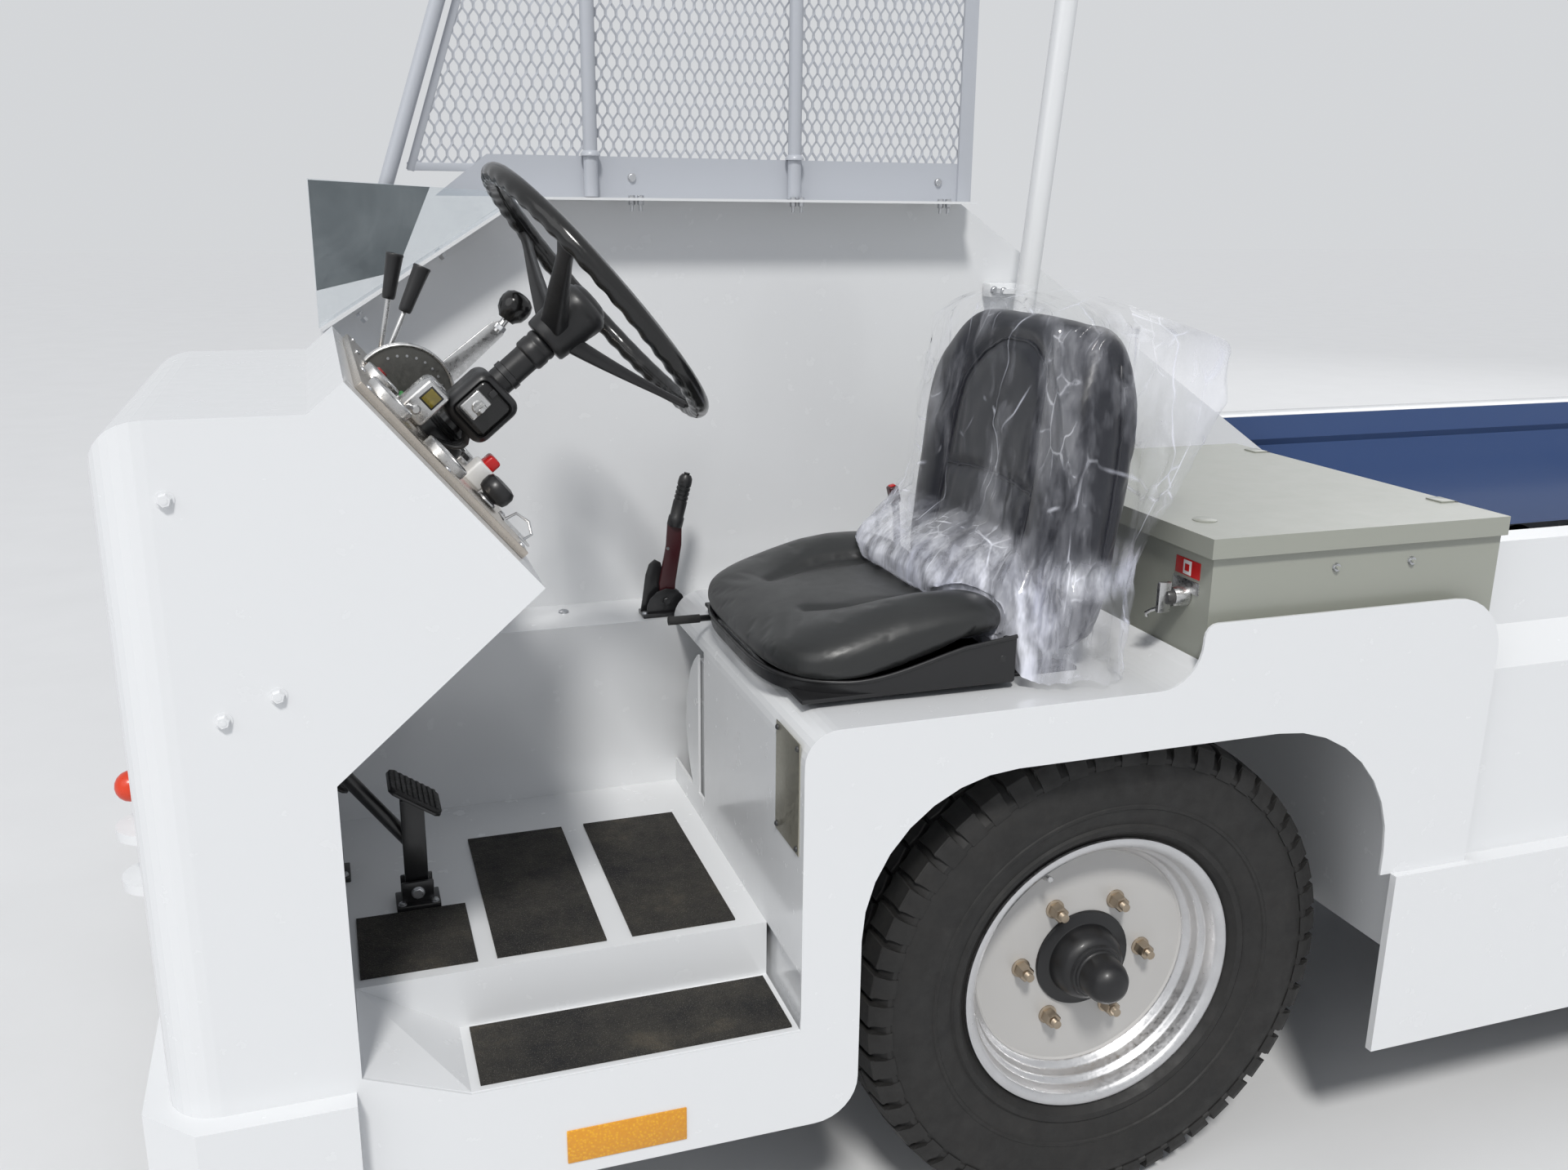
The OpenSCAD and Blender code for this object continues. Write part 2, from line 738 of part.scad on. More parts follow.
// The lid's skirt hangs outside the box walls with a small gap
module electrical_lid() {
  z0 = box_top - lid_t;
  color(box_grey) ahead() difference() {
    block([box_x1 - 2, box_y0 - lid_lip, z0 + 0.3], [box_x0 + lid_lip, box_y1 + lid_lip, box_top]);
    block([box_x1 + 20, box_y0 + 12, z0 - 1], [box_x0 - 12, box_y1 - 12, box_top - box_wall]);
  }
}

mast_x = -140;
mast_y = divider_y + 80;
mast_low = 1230;
mast_lean = 5.3;
module beacon_mast() {
  foot = [mast_x, mast_y, mast_low];
  color(white) ahead() {
    translate(foot) rotate([0, -mast_lean, 0]) cylinder(h = mast_len, r = mast_r);
    block([mast_x - 30, divider_y, mast_low + 30], [mast_x + 30, mast_y - mast_r + 3, mast_low + 38]);
    block([mast_x - 30, divider_y, mast_low + 100], [mast_x + 25, mast_y - mast_r + 3, mast_low + 108]);
  }
}

module beacon() {
  color(amber) ahead() translate([mast_x, mast_y, mast_low]) rotate([0, -mast_lean, 0])
    translate([0, 0, mast_len]) {
      cylinder(h = 22, r = 62);
      translate([0, 0, 22]) cylinder(h = 78, r1 = 56, r2 = 50);
      translate([0, 0, 100]) cylinder(h = 14, r1 = 50, r2 = 30);
    }
}

// Section of the left rear body, from the inner lip of the top flange to the skirt's foot
rear_section = [
  [side_y - rear_upper_in - 55, rear_z - 25], [side_y - rear_upper_in - 55, rear_z],
  [side_y - rear_upper_in, rear_z], [side_y - rear_upper_in, rear_z - 132],
  [side_y - rear_lower_in, rear_z - 178], [side_y - rear_lower_in, skirt_z],
  [side_y + skirt_proud, skirt_z], [side_y + skirt_proud, skirt_low], [side_y - 40, skirt_low],
  [side_y - 40, skirt_low + sheet], [side_y + skirt_proud - sheet, skirt_low + sheet],
  [side_y + skirt_proud - sheet, skirt_z - sheet], [side_y - rear_lower_in - sheet, skirt_z - sheet],
  [side_y - rear_lower_in - sheet, rear_z - 180], [side_y - rear_upper_in - sheet, rear_z - 134],
  [side_y - rear_upper_in - sheet, rear_z - sheet], [side_y - rear_upper_in - 51, rear_z - sheet],
  [side_y - rear_upper_in - 51, rear_z - 25]
];

module rear_body_left() {
  upper_y = side_y - rear_upper_in - sheet + 1;
  lower_y = side_y - rear_lower_in - sheet + 1;
  color(white) ahead() difference() {
    union() {
      cross_plate(rear_section, -chassis_back, cab_back);
      block([cab_back, side_y, skirt_low], [-arch_half - 19, side_y + skirt_proud, skirt_z]);
      block([cab_back - sheet, divider_y, deck_z - sheet], [cab_back, upper_y, rear_z - sheet]);
      block([cab_back - sheet, rail_y, sill_z], [cab_back, lower_y, deck_z - sheet]);
      block([-chassis_back, rail_y - rail_w, deck_z - sheet], [-chassis_back + sheet, upper_y, rear_z - sheet]);
    }
    arch_cut(-wheelbase, side_y - 60, side_y + 60);
  }
}

module rear_panel() {
  low = rail_top - rail_h - 150;
  color(white) ahead() block([-chassis_back - sheet, -side_y, low], [-chassis_back, side_y, rail_top]);
}

// Deck over the power unit, with its inner wall on the rail
module deck_plate() {
  inner = rail_y - rail_w;
  reach = arch_half + 22;
  color(white) ahead() difference() {
    union() {
      block([sheet - chassis_back, inner, deck_z - sheet], [cab_back - sheet, side_y - rear_upper_in - sheet, deck_z]);
      block([sheet - chassis_back, inner, rail_top], [cab_back - sheet, inner + sheet, deck_z]);
    }
    block([-wheelbase - reach, tyre_y0 - 42 - sheet, 0], [-wheelbase + reach, side_y, deck_z + 1]);
  }
}

module power_unit() {
  color([0.3, 0.32, 0.33]) ahead() block([-2120, rail_y + 54, 330], [-1120, side_y - 120, deck_z - sheet]);
}

// Cross members: [x0, x1]
cross_members = [[-440, -360], [-1120, -1040], [-2740, -2660], [-4060, -3980], [1000, 1080]];
// Outriggers that carry the side skins: [x0, x1, side, reach from the side]
outriggers = [
  [504, 544, 1, 156], [504, 544, -1, 4], [-560, -500, 1, 4], [-560, -500, -1, 4],
  [-1120, -1060, 1, 22], [-1120, -1060, -1, 4], [-2180, -2120, 1, 22], [-2180, -2120, -1, 4],
  [-2540, -2480, 1, 22], [-2540, -2480, -1, 4], [-3560, -3500, 1, 22], [-3560, -3500, -1, 4],
  [-4056, -3996, 1, 22], [-4056, -3996, -1, 4],
  [1180, 1240, -1, 4]
];

module chassis_frame() {
  z0 = rail_top - rail_h;
  inner = rail_y - rail_w;
  foot_r = 38;
  color([0.2, 0.2, 0.21]) ahead() {
    for (s = [-1, 1]) on_side(s) difference() {
      block([-chassis_back, inner, z0], [nose_x - sheet, rail_y, rail_top]);
      block([-chassis_back - 1, inner - 1, z0 + 8], [nose_x, rail_y - 8, rail_top - 8]);
    }
    for (c = cross_members) block([c[0], -rail_y + 1, z0 + 30], [c[1], rail_y - 1, rail_top - 8]);
    for (o = outriggers) on_side(o[2])
      block([o[0], rail_y - 1, z0 + 4], [o[1], side_y - o[3], z0 + 60]);
    // Clevis ears of the boom pivot
    for (y = lug_y) for (s = [-1, 1]) {
      e0 = y + (s > 0 ? lug_w / 2 + 1 : -lug_w / 2 - 17);
      cross_bar(-pivot_back, pivot_z, 42, e0, e0 + 16);
      block([-pivot_back - 42, e0, z0 + 20], [-pivot_back + 42, e0 + 16, pivot_z]);
    }
    for (y = lug_y) cross_bar(-pivot_back, pivot_z, pin_r, y - lug_w / 2 - 20, y + lug_w / 2 + 20);
    // Rear beam that carries the pivot ears
    block([-pivot_back - 42, boom_y0 + 60, z0 + 20], [-pivot_back + 42, -rail_y + 1, rail_top - 40]);
    // Clevis ears of the cylinder feet
    for (y = lift_y) for (s = [-1, 1]) {
      e0 = y + (s > 0 ? eye_w / 2 + 1 : -eye_w / 2 - 13);
      cross_bar(-foot_back, foot_z, foot_r, e0, e0 + 12);
      block([-foot_back - 115, e0, foot_z - foot_r], [-foot_back, e0 + 12, foot_z + foot_r]);
    }
    for (y = lift_y) cross_bar(-foot_back, foot_z, pin_r, y - eye_w / 2 - 16, y + eye_w / 2 + 16);
    block([-2740, -inner - 1, foot_z - 40], [-2660, inner + 1, z0 + 40]);
  }
}

module hitch_jaw(z, reach, t) {
  block([0, -60, z - jaw_gap / 2 - t], [reach - 45, 60, z - jaw_gap / 2]);
  block([0, -60, z + jaw_gap / 2], [reach - 45, 60, z + jaw_gap / 2 + t]);
  for (k = [z - jaw_gap / 2 - t, z + jaw_gap / 2]) translate([reach - 60, 0, k]) cylinder(h = t, r = 60);
  block([0, -60, z - jaw_gap / 2 - t], [14, 60, z + jaw_gap / 2 + t]);
}

module front_hitch() {
  z = 350;
  reach = front_reach - nose_x - bumper_proud;
  color(steel) ahead(nose_x + bumper_proud) {
    hitch_jaw(z, reach, 18);
    translate([reach - 60, 0, z - 120]) cylinder(h = 260, r = hitch_r - 1.5);
    translate([reach - 60, 0, z + 90]) cylinder(h = 20, r = 24);
    translate([reach - 60, 0, z + 130]) sphere(r = 27);
  }
}

module rear_hitch() {
  z = 430;
  reach = 190;
  color(steel) ahead(-chassis_back - sheet) mirror([1, 0, 0]) difference() {
    union() {
      hitch_jaw(z, reach, 18);
      block([0, -60, z], [14, 60, rail_top - rail_h + 110]);
    }
    translate([reach - 60, 0, z - 200]) cylinder(h = 400, r = hitch_r);
  }
}

// Head lamps on the nose and apron, tail lamps on the rear panel
module lamps() {
  lamp_t = 26;
  color(steel) ahead() {
    for (y = [side_y - 200, -side_y + 200]) translate([nose_x, y, 640]) rotate([0, 90, 0]) cylinder(h = lamp_t, r = 80);
    for (y = [side_y - 190, -side_y + 190])
      block([-chassis_back - sheet - lamp_t, y - 110, 500], [-chassis_back - sheet, y + 110, 580]);
  }
}

module front_axle() {
  eye_h = 62;
  color(black) ahead() {
    difference() {
      union() {
        block([-45, -kingpin_y + 44, 292], [45, kingpin_y - 44, 352]);
        for (s = [-1, 1]) on_side(s) {
          block([-45, kingpin_y - 100, 292], [45, kingpin_y - 44, wheel_z + 40]);
          block([-28, kingpin_y - 50, wheel_z - 46], [28, kingpin_y - 20, wheel_z + 46]);
          translate([0, kingpin_y, wheel_z - eye_h]) cylinder(h = 2 * eye_h, r = 34);
        }
      }
      for (s = [-1, 1]) translate([0, s * kingpin_y, 200]) cylinder(h = 400, r = kingpin_r + pin_gap);
    }
    for (s = [-1, 1]) on_side(s) leaf_spring(352);
  }
}

// Leaf pack between an axle and its rail
module leaf_spring(low) {
  y = rail_y - rail_w / 2;
  top = rail_top - rail_h;
  for (i = [0:3]) block([-380 + i * 70, y - 30, low + i * 9], [380 - i * 70, y + 30, low + i * 9 + 9]);
  for (s = [-1, 1]) block([s * 355 - 22, y - 30, low + 9], [s * 355 + 22, y + 30, top]);
}

module rear_axle() {
  color(black) ahead(-wheelbase) {
    cross_bar(0, wheel_z, 50, -disc_y + 60, disc_y - 60);
    translate([0, 0, wheel_z]) sphere(r = 130);
    for (s = [-1, 1]) on_side(s) {
      cross_bar(0, wheel_z, 150, disc_y - 110, disc_y - 40);
      cross_bar(0, wheel_z, 29.95, disc_y - 60, disc_y + 34);
      leaf_spring(wheel_z + 30);
    }
    bar([100, 0, wheel_z], [235, 0, wheel_z], 60);
  }
}

// Steering knuckle with its kingpin, brake drum and spindle
module knuckle() {
  color(black) ahead() {
    translate([0, kingpin_y, wheel_z - 88]) cylinder(h = 176, r = kingpin_r);
    for (z = [wheel_z - 88, wheel_z + 66]) {
      translate([0, kingpin_y, z]) cylinder(h = 22, r = 34);
      block([-34, kingpin_y, z], [34, kingpin_y + 60, z + 22]);
    }
    block([-40, kingpin_y + 42, wheel_z - 88], [40, kingpin_y + 66, wheel_z + 88]);
    cross_bar(0, wheel_z, 150, kingpin_y + 66, disc_y - 40);
    cross_bar(0, wheel_z, 29.95, kingpin_y + 66, disc_y + 34);
    block([-170, kingpin_y + 42, wheel_z - 20], [-30, kingpin_y + 60, wheel_z + 10]);
  }
}

module knuckle_left() {
  knuckle();
}

module knuckle_right() {
  mirror([0, 1, 0]) knuckle();
}

// Section of the tyre, radius against width, symmetric about its middle
module tyre_section() {
  h = tyre_w / 2;
  bead_r = rim_r - 14.7;
  bead_h = h - 29.5;
  half = [
    [bead_r, bead_h], [rim_r + 1, bead_h], [rim_r + 9, h - 17], [rim_r + 50, h - 3],
    [tyre_r - 76, h], [tyre_r - 36, h - 6], [tyre_r - 10, h - 20], [tyre_r, h - 40]
  ];
  n = len(half);
  polygon(concat(half, [for (i = [n - 1:-1:0]) [half[i][0], -half[i][1]]]));
}

module tyre_at(x, side) {
  color(rubber) ahead(x) on_side(side) translate([0, (tyre_y0 + tyre_y1) / 2, wheel_z])
    rotate([90, 0, 0]) rotate_extrude($fn = 96) tyre_section();
}

// Rim: barrel and flanges, disc, studs, hub and cap
module rim_at(x, side) {
  seat_r = rim_r - 15;
  w = tyre_w - 40;
  color(steel) ahead(x) on_side(side) translate([0, 0, wheel_z]) {
    translate([0, flange_y, 0]) rotate([90, 0, 0]) rotate_extrude($fn = 96) polygon([
      [rim_r, 0], [rim_r, 5], [seat_r, 9], [seat_r, 48], [seat_r - 22, 62], [seat_r - 22, dish + disc_t],
      [seat_r, dish + disc_t + 16], [seat_r, w - 9], [rim_r, w - 5], [rim_r, w], [seat_r - 6, w],
      [seat_r - 6, dish + disc_t + 20], [seat_r - 28, dish + disc_t + 4], [seat_r - 28, 58],
      [seat_r - 6, 44], [seat_r - 6, 0]
    ]);
    difference() {
      union() {
        cross_bar(0, 0, seat_r - 22.5, disc_y - disc_t, disc_y);
        cross_bar(0, 0, hub_r, disc_y, disc_y + 5);
        cross_bar(0, 0, 56, disc_y - 36, disc_y + 36);
        cross_bar(0, 0, 38, disc_y + 35, disc_y + 52);
        cross_bar(0, 0, 34, disc_y + 51, disc_y + 76);
        translate([0, disc_y + 74, 0]) sphere(r = 26);
        for (i = [0:stud_n - 1]) rotate([0, i * 360 / stud_n, 0]) {
          cross_bar(stud_circle_r, 0, 7, disc_y, disc_y + 34);
          translate([stud_circle_r, disc_y + 22, 0]) rotate([90, 0, 0]) cylinder(h = 22, r = 12, $fn = 6);
        }
      }
      cross_bar(0, 0, 30, disc_y - 60, disc_y + 36);
    }
  }
}

module tyre_front_left() {
  tyre_at(0, 1);
}

module tyre_front_right() {
  tyre_at(0, -1);
}

module tyre_rear_left() {
  tyre_at(-wheelbase, 1);
}

module tyre_rear_right() {
  tyre_at(-wheelbase, -1);
}

module rim_front_left() {
  rim_at(0, 1);
}

module rim_front_right() {
  rim_at(0, -1);
}

module rim_rear_left() {
  rim_at(-wheelbase, 1);
}

module rim_rear_right() {
  rim_at(-wheelbase, -1);
}

// Near side panel, taller than the belt, with a crease and a top flange
module boom_near_side() {
  crease = boom_top - boom_lip;
  top_in = boom_y1 - boom_inset - boom_lip;
  wall_out = boom_y1 - boom_inset;
  wall_in = wall_out - boom_wall;
  cross_plate([
    [wall_out, boom_z0], [wall_out, crease], [boom_y1, crease + 14], [boom_y1, boom_top],
    [top_in, boom_top], [top_in, boom_top - lip_t], [boom_y1 - boom_wall, boom_top - lip_t],
    [boom_y1 - boom_wall, crease + 16], [wall_in, crease + 4], [wall_in, boom_z0 + boom_wall],
    [top_in, boom_z0 + boom_wall], [top_in, boom_z0]
  ], -rear_reach, boom_x - 12);
}

// Far side channel, level with the belt
module boom_far_side() {
  wall_out = boom_y0 + boom_inset;
  wall_in = wall_out + boom_wall;
  lip_in = wall_out + boom_lip;
  cross_plate([
    [wall_out, boom_z0], [wall_out, far_top], [lip_in, far_top], [lip_in, far_top - lip_t],
    [wall_in, far_top - lip_t], [wall_in, boom_z0 + boom_wall], [lip_in, boom_z0 + boom_wall],
    [lip_in, boom_z0]
  ], -rear_reach, boom_x - 12);
}

module boom_frame() {
  bed_z = belt_z - belt_t;
  wall_y = boom_y1 - boom_inset - boom_wall;
  far_y = boom_y0 + boom_inset + boom_wall;
  drum_x = [boom_x - 90, -rear_reach + 90];
  color(blue) ahead() {
    boom_near_side();
    boom_far_side();
    block(
      [-rear_reach + 160, boom_mid - belt_w / 2 - 20, bed_z - 5],
      [boom_x - 160, boom_mid + belt_w / 2 + 20, bed_z]
    );
    for (x = [boom_x - 320, -400, -2300, -3000, -rear_reach + 260])
      block([x - 25, far_y - 1, bed_z - 44], [x + 25, wall_y + 1, bed_z - 4]);
    for (x = drum_x) cross_bar(x, bed_z - drum_r, drum_r - 0.3, boom_mid - belt_w / 2, boom_mid + belt_w / 2);
    for (x = drum_x) cross_bar(x, bed_z - drum_r, 16, far_y - 1, wall_y + 1);
    // Ears beside the cylinder eyes, on a cross beam under the sides
    beam_x = -eye_back + 110;
    block([beam_x, far_y - 1, boom_z0 - 35], [beam_x + 60, wall_y + 1, boom_z0 + 1]);
    for (y = lift_y) for (s = [-1, 1]) {
      e0 = y + (s > 0 ? eye_w / 2 + 2 : -eye_w / 2 - 16);
      block([-eye_back - 40, e0, eye_z - 40], [beam_x + 1, e0 + 14, boom_z0]);
    }
  }
}

// Pivot lugs of the boom on a plate under its sides
module boom_pivot() {
  lug_r = 42;
  plate_t = 17;
  color(blue) ahead(-pivot_back) {
    block([-lug_r - 3, boom_y0 + boom_inset, boom_z0 - plate_t], [lug_r + 3, boom_y1 - boom_inset, boom_z0]);
    for (y = lug_y) difference() {
      union() {
        cross_bar(0, pivot_z, lug_r, y - lug_w / 2, y + lug_w / 2);
        block([-lug_r, y - lug_w / 2, pivot_z], [lug_r, y + lug_w / 2, boom_z0 - plate_t + 1]);
      }
      cross_bar(0, pivot_z, pin_r + pin_gap, y - lug_w, y + lug_w);
    }
  }
}

// Endless belt round the two end drums
module boom_belt() {
  z = belt_z - belt_t - drum_r;
  x = [-rear_reach + 90, boom_x - 90];
  y0 = boom_mid - belt_w / 2;
  y1 = boom_mid + belt_w / 2;
  color(rubber) ahead() difference() {
    union() {
      for (k = x) cross_bar(k, z, drum_r + belt_t, y0, y1);
      block([x[0], y0, z - drum_r - belt_t], [x[1], y1, z + drum_r + belt_t]);
    }
    for (k = x) cross_bar(k, z, drum_r, y0 - 1, y1 + 1);
    block([x[0], y0 - 1, z - drum_r], [x[1], y1 + 1, z + drum_r]);
  }
}

// Rubber buffer across the front end of the boom
module boom_buffer() {
  color(rubber) ahead() {
    block([boom_x - 12, boom_y0 + boom_inset, boom_z0], [boom_x + 30, boom_y1 - boom_inset, far_top]);
  }
}

// Drawn from the foot of a cylinder, along its rest direction
module along_lift(y) {
  ahead(-foot_back) translate([0, y, foot_z]) rotate([0, -lift_angle, 0]) children();
}

module lift_barrels() {
  color([0.25, 0.26, 0.28]) for (y = lift_y) along_lift(y) difference() {
    union() {
      cross_bar(0, 0, 34, -eye_w / 2, eye_w / 2);
      block([0, -22, -22], [60, 22, 22]);
      translate([55, 0, 0]) rotate([0, 90, 0]) cylinder(h = lift_len - 170, r = barrel_r);
      translate([lift_len - 145, 0, 0]) rotate([0, 90, 0]) cylinder(h = 30, r = barrel_r + 6);
    }
    cross_bar(0, 0, pin_r + pin_gap, -eye_w, eye_w);
    translate([120, 0, 0]) rotate([0, 90, 0]) cylinder(h = lift_len, r = rod_r + pin_gap);
  }
}

module lift_rods() {
  color(steel) for (y = lift_y) along_lift(y) {
    translate([130, 0, 0]) rotate([0, 90, 0]) cylinder(h = lift_len - 160, r = rod_r);
    cross_bar(lift_len, 0, 34, -eye_w / 2, eye_w / 2);
  }
}

chassis_frame();
nose_cowl();
front_bumper();
front_apron();
cab_floor();
step_mats();
side_skin_left();
side_skin_right();
seat_box();
wheel_arches();
divider();
guard_frame();
guard_mesh();
side_screen();
screen_plate();
dash_panel();
steering_column();
steering_wheel();
control_levers();
handbrake();
pedals();
seat_base();
seat_cushion();
seat_back();
electrical_box();
electrical_lid();
beacon_mast();
beacon();
rear_body_left();
rear_panel();
deck_plate();
power_unit();
front_hitch();
rear_hitch();
lamps();
front_axle();
rear_axle();
knuckle_left();
knuckle_right();
tyre_front_left();
tyre_front_right();
tyre_rear_left();
tyre_rear_right();
rim_front_left();
rim_front_right();
rim_rear_left();
rim_rear_right();
boom_frame();
boom_pivot();
boom_belt();
boom_buffer();
lift_barrels();
lift_rods();
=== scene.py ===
"""Looks of the baggage belt loader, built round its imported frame."""
import math

import bmesh
import bpy
import numpy as np
from mathutils import Matrix, Vector, noise
from mathutils.bvhtree import BVHTree
from mathutils.kdtree import KDTree


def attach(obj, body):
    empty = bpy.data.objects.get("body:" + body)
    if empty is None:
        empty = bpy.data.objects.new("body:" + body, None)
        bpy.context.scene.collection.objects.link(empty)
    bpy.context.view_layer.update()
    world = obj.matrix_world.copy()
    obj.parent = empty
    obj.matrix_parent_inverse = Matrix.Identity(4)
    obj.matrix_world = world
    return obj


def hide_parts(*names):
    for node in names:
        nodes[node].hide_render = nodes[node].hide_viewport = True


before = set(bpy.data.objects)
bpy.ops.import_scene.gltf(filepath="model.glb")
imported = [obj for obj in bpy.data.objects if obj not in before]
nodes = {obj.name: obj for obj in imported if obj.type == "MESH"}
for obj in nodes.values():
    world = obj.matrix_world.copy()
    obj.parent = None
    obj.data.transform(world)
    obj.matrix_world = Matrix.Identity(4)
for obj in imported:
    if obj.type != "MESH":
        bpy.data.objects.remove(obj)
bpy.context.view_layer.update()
rad = math.radians
TURN = 2 * math.pi

# Front axle's X and the body's half width, in metres
XF = 1.820
SIDE = 1.000
ALONG_X, ALONG_Y, UP, DOWN = (1, 0, 0), (0, 1, 0), (0, 0, 1), (0, 0, -1)


def at(x, y, z):
    """A point given in millimetres from the front axle, the middle and the ground."""
    return Vector((XF + x / 1000, y / 1000, z / 1000))


def linked(name, data):
    obj = bpy.data.objects.new(name, data)
    bpy.context.collection.objects.link(obj)
    return obj


def smooth(a, b, x):
    t = min(1, max(0, (x - a) / (b - a)))
    return t * t * (3 - 2 * t)


def sgn_pow(v, e):
    return math.copysign(abs(v) ** e, v)


def mesh_object(name, bm, mats):
    """Turns a bmesh into a linked object and frees it."""
    bmesh.ops.recalc_face_normals(bm, faces=bm.faces[:])
    me = bpy.data.meshes.new(name)
    bm.to_mesh(me)
    bm.free()
    for mat in mats:
        me.materials.append(mat)
    return linked(name, me)


def quads(rows, cols, wrap_rows=False, wrap_cols=True):
    """Faces between points kept row by row."""
    faces = []
    for i in range(rows if wrap_rows else rows - 1):
        for k in range(cols if wrap_cols else cols - 1):
            j, m = (i + 1) % rows, (k + 1) % cols
            faces.append([i * cols + k, j * cols + k, j * cols + m, i * cols + m])
    return faces


# Camera and light

CAM_POS = Vector((2.8452, 2.4477, 1.4793))
CAM_RIGHT = Vector((-0.94702762, 0.32097862, 0.01055499))
CAM_DOWN = Vector((0.07752524, 0.2603804, -0.96238863))
CAM_AHEAD = Vector((-0.31165449, -0.91059034, -0.27147138))
FOCAL_PX, IMAGE_W, SENSOR_MM = 1660.3, 1920, 36


def make_camera():
    cam = bpy.data.cameras.new("camera")
    cam.sensor_width = SENSOR_MM
    cam.lens = SENSOR_MM * FOCAL_PX / IMAGE_W
    cam.clip_start, cam.clip_end = 0.05, 200
    turn = Matrix((CAM_RIGHT, -CAM_DOWN, -CAM_AHEAD)).transposed()
    obj = linked("camera", cam)
    obj.matrix_world = Matrix.Translation(CAM_POS) @ turn.to_4x4()
    bpy.context.scene.camera = obj


def make_light(kind, name, place, toward, watts, **values):
    light = bpy.data.lights.new(name, kind)
    light.energy = watts
    for key, value in values.items():
        setattr(light, key, value)
    turn = Vector(toward).to_track_quat("-Z", "Y").to_matrix().to_4x4()
    linked(name, light).matrix_world = Matrix.Translation(place) @ turn


def feed(tree, node, inputs):
    """Gives a node's inputs, by name or number, a value or the socket of another node."""
    for key, value in inputs.items():
        socket = node.inputs[key]
        if isinstance(value, bpy.types.NodeSocket):
            tree.links.new(value, socket)
        else:
            socket.default_value = (*value, 1) if socket.type == "RGBA" else value
    return node


def new_node(tree, kind, inputs):
    return feed(tree, tree.nodes.new("ShaderNode" + kind), inputs)


def math_node(tree, kind, a, b):
    node = new_node(tree, "Math", {0: a, 1: b})
    node.operation = kind
    return node.outputs[0]


def make_world():
    """A soft sky that lights, and one pale colour that the camera and glossy or clear faces see."""
    world = bpy.data.worlds.new("studio")
    bpy.context.scene.world = world
    world.use_nodes = True
    tree = world.node_tree
    tree.nodes.clear()
    soft = new_node(tree, "Background", {"Color": (0.86, 0.91, 1.0), "Strength": 0.40})
    seen = new_node(tree, "Background", {"Color": (0.660, 0.674, 0.692), "Strength": 1.0})
    path = new_node(tree, "LightPath", {})
    seen_by = path.outputs["Is Camera Ray"]
    for ray in ("Is Glossy Ray", "Is Transmission Ray"):
        seen_by = math_node(tree, "MAXIMUM", seen_by, path.outputs[ray])
    mix = new_node(tree, "MixShader", {"Fac": seen_by, 1: soft.outputs[0], 2: seen.outputs[0]})
    new_node(tree, "OutputWorld", {"Surface": mix.outputs[0]})


# Materials


class Mat:
    """A Principled material whose colour, roughness and bump come from noise in the object's own space."""

    def __init__(self, name, **values):
        self.m = bpy.data.materials.new(name)
        self.m.use_nodes = True
        self.t = self.m.node_tree
        self.b = self.t.nodes["Principled BSDF"]
        self.place = new_node(self.t, "TexCoord", {}).outputs["Object"]
        self.give({key.replace("_", " "): value for key, value in values.items()})

    def give(self, inputs):
        feed(self.t, self.b, inputs)
        return self.m

    def stretched(self, stretch):
        if stretch is None:
            return self.place
        return new_node(self.t, "Mapping", {"Scale": stretch, "Vector": self.place}).outputs["Vector"]

    def noise(self, scale, detail=4, rough=0.6, stretch=None):
        inputs = {"Scale": scale, "Detail": detail, "Roughness": rough, "Vector": self.stretched(stretch)}
        return new_node(self.t, "TexNoise", inputs).outputs["Fac"]

    def voronoi(self, scale, feature="F1", stretch=None):
        node = new_node(self.t, "TexVoronoi", {"Scale": scale, "Vector": self.stretched(stretch)})
        node.feature = feature
        return node.outputs["Distance"]

    def ramp(self, fac, *stops):
        """Each stop is (place, colour)."""
        node = new_node(self.t, "ValToRGB", {"Fac": fac})
        marks = node.color_ramp.elements
        while len(marks) < len(stops):
            marks.new(0.5)
        for mark, (place, col) in zip(marks, stops):
            mark.position, mark.color = place, (*col, 1)
        return node.outputs["Color"]

    def spread(self, fac, low, high, start=0.3, end=0.7):
        """Turns the range start to end into low to high."""
        inputs = {"Value": fac, "From Min": start, "From Max": end, "To Min": low, "To Max": high}
        return new_node(self.t, "MapRange", inputs).outputs["Result"]

    def math(self, kind, a, b):
        return math_node(self.t, kind, a, b)

    def mix(self, fac, a, b):
        node = self.t.nodes.new("ShaderNodeMix")
        node.data_type = "RGBA"
        return feed(self.t, node, {"Factor": fac, 6: a, 7: b}).outputs[2]

    def done(self, colour, rough, *layers):
        """Colour and roughness, and bumps, each as (height, strength, distance), give the material."""
        inputs = {"Base Color": colour}
        if rough:
            inputs["Roughness"] = rough
        for height, strength, distance in layers:
            bump = {"Height": height, "Strength": strength, "Distance": distance}
            if "Normal" in inputs:
                bump["Normal"] = inputs["Normal"]
            inputs["Normal"] = new_node(self.t, "Bump", bump).outputs["Normal"]
        return self.give(inputs)


DUST = (0.42, 0.38, 0.33)


def shade(col, k):
    return tuple(min(1, c * k) for c in col)


def paint(name, col, rough=0.28, dirt=0.0, coat=0.25, skin=0.02):
    """Sprayed sheet metal: slight colour drift, low dust, a fine skin in the gloss."""
    p = Mat(name, IOR=1.5, Coat_Weight=coat, Coat_Roughness=0.12)
    drift = p.ramp(p.noise(1.1, 3), (0.2, shade(col, 0.985)), (0.8, col))
    if dirt:
        drift = p.mix(p.spread(p.noise(11, 8, 0.72), 0, dirt, 0.52, 0.8), drift, DUST)
    gloss = p.spread(p.noise(26, 4), rough - 0.02, rough + 0.04)
    return p.done(drift, gloss, (p.noise(420, 2), skin, 0.0002))


